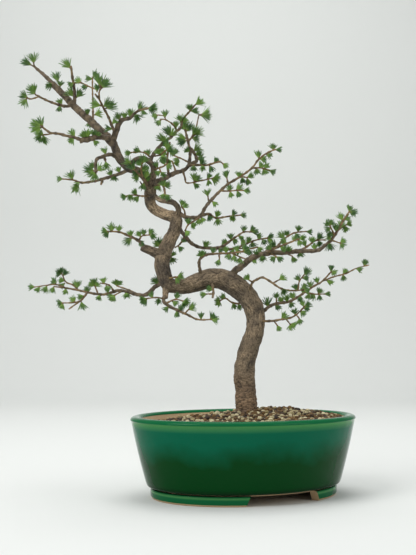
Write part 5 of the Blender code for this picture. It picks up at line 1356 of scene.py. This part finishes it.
# %% Moulded polyethylene mesh over the drain holes: dull black, with a slight sheen
black_mesh, tree, shader = new_material("moulded_polyethylene", 0.45)
where = add_node(tree, "ShaderNodeTexCoord").outputs["Object"]
scuff = add_node(tree, "ShaderNodeTexNoise", {"Vector": where, "Scale": 1 / (6 * MM), "Detail": 2})
worn = add_node(
    tree, "ShaderNodeMix", {0: scuff.outputs["Fac"], 6: linear("161616"), 7: linear("2b2b2a")},
    data_type="RGBA",
)
tree.links.new(worn.outputs[2], shader.inputs["Base Color"])
for side in ("left", "right"):
    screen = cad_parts["drain_screen_" + side]
    screen.data.materials.clear()
    screen.data.materials.append(black_mesh)
print("soil and screens dressed")

# %% [markdown]
# ## Studio
#
# The tree stands on a plain pale sweep, so that nothing else draws the eye. A wide soft light
# above and to the left, one overhead, a weaker one at the right, and a pale sky all round give
# the flat light of a bright room, and the glaze has large soft shapes to reflect. One more light
# washes the backdrop, which would otherwise be greyer than the floor.

# %% Floor, backdrop and lights
SWEEP_HALF = 3.4
SWEEP_BACK = 2.6
SWEEP_FRONT = -3.2
SWEEP_BEND = 0.7
SWEEP_TOP = 3.6


def make_sweep():
    """A floor that turns up into a backdrop in one curve."""
    section = [(SWEEP_FRONT, 0.0), (SWEEP_BACK - SWEEP_BEND, 0.0)]
    for k in range(1, 13):
        turn = math.pi / 2 * k / 12
        out = SWEEP_BACK - SWEEP_BEND + SWEEP_BEND * math.sin(turn)
        section.append((out, SWEEP_BEND * (1 - math.cos(turn))))
    section.append((SWEEP_BACK, SWEEP_TOP))
    verts = [(x, y, z) for y, z in section for x in (-SWEEP_HALF, SWEEP_HALF)]
    faces = [(2 * k, 2 * k + 1, 2 * k + 3, 2 * k + 2) for k in range(len(section) - 1)]
    mesh = bpy.data.meshes.new("sweep")
    mesh.from_pydata(verts, [], faces)
    mesh.shade_smooth()
    made = bpy.data.objects.new("sweep", mesh)
    bpy.context.scene.collection.objects.link(made)
    return made


def add_softbox(name, place, aim, size, watts):
    light = bpy.data.lights.new(name, "AREA")
    light.shape = "DISK"
    light.size = size
    light.energy = watts
    made = bpy.data.objects.new(name, light)
    made.location = place
    made.rotation_euler = (Vector(aim) - Vector(place)).to_track_quat("-Z", "Y").to_euler()
    bpy.context.scene.collection.objects.link(made)
    return made


sweep = make_sweep()
paper, tree, shader = new_material("matt_paper", 0.9)
shader.inputs["Base Color"].default_value = linear("e4e6e3")
sweep.data.materials.append(paper)
SOFTBOXES = [               # (name, place in metres, aimed at, side in metres, watts)
    ("window", (-1.3, -1.1, 1.7), (0, 0, 0.25), 1.4, 28),
    ("ceiling", (0.2, 0.3, 2.2), (0, 0, 0.2), 1.8, 19),
    ("backdrop_wash", (0, 1.0, 2.4), (0, 2.6, 0.5), 1.6, 17),
    ("fill", (1.6, -0.9, 0.8), (0, 0, 0.2), 1.2, 7),
]
for softbox in SOFTBOXES:
    add_softbox(*softbox)
world = bpy.data.worlds.new("pale_room")
world.use_nodes = True
world.node_tree.nodes["Background"].inputs["Color"].default_value = linear("eef1f2")
world.node_tree.nodes["Background"].inputs["Strength"].default_value = 0.38
bpy.context.scene.world = world
bpy.context.scene.view_settings.view_transform = "Standard"
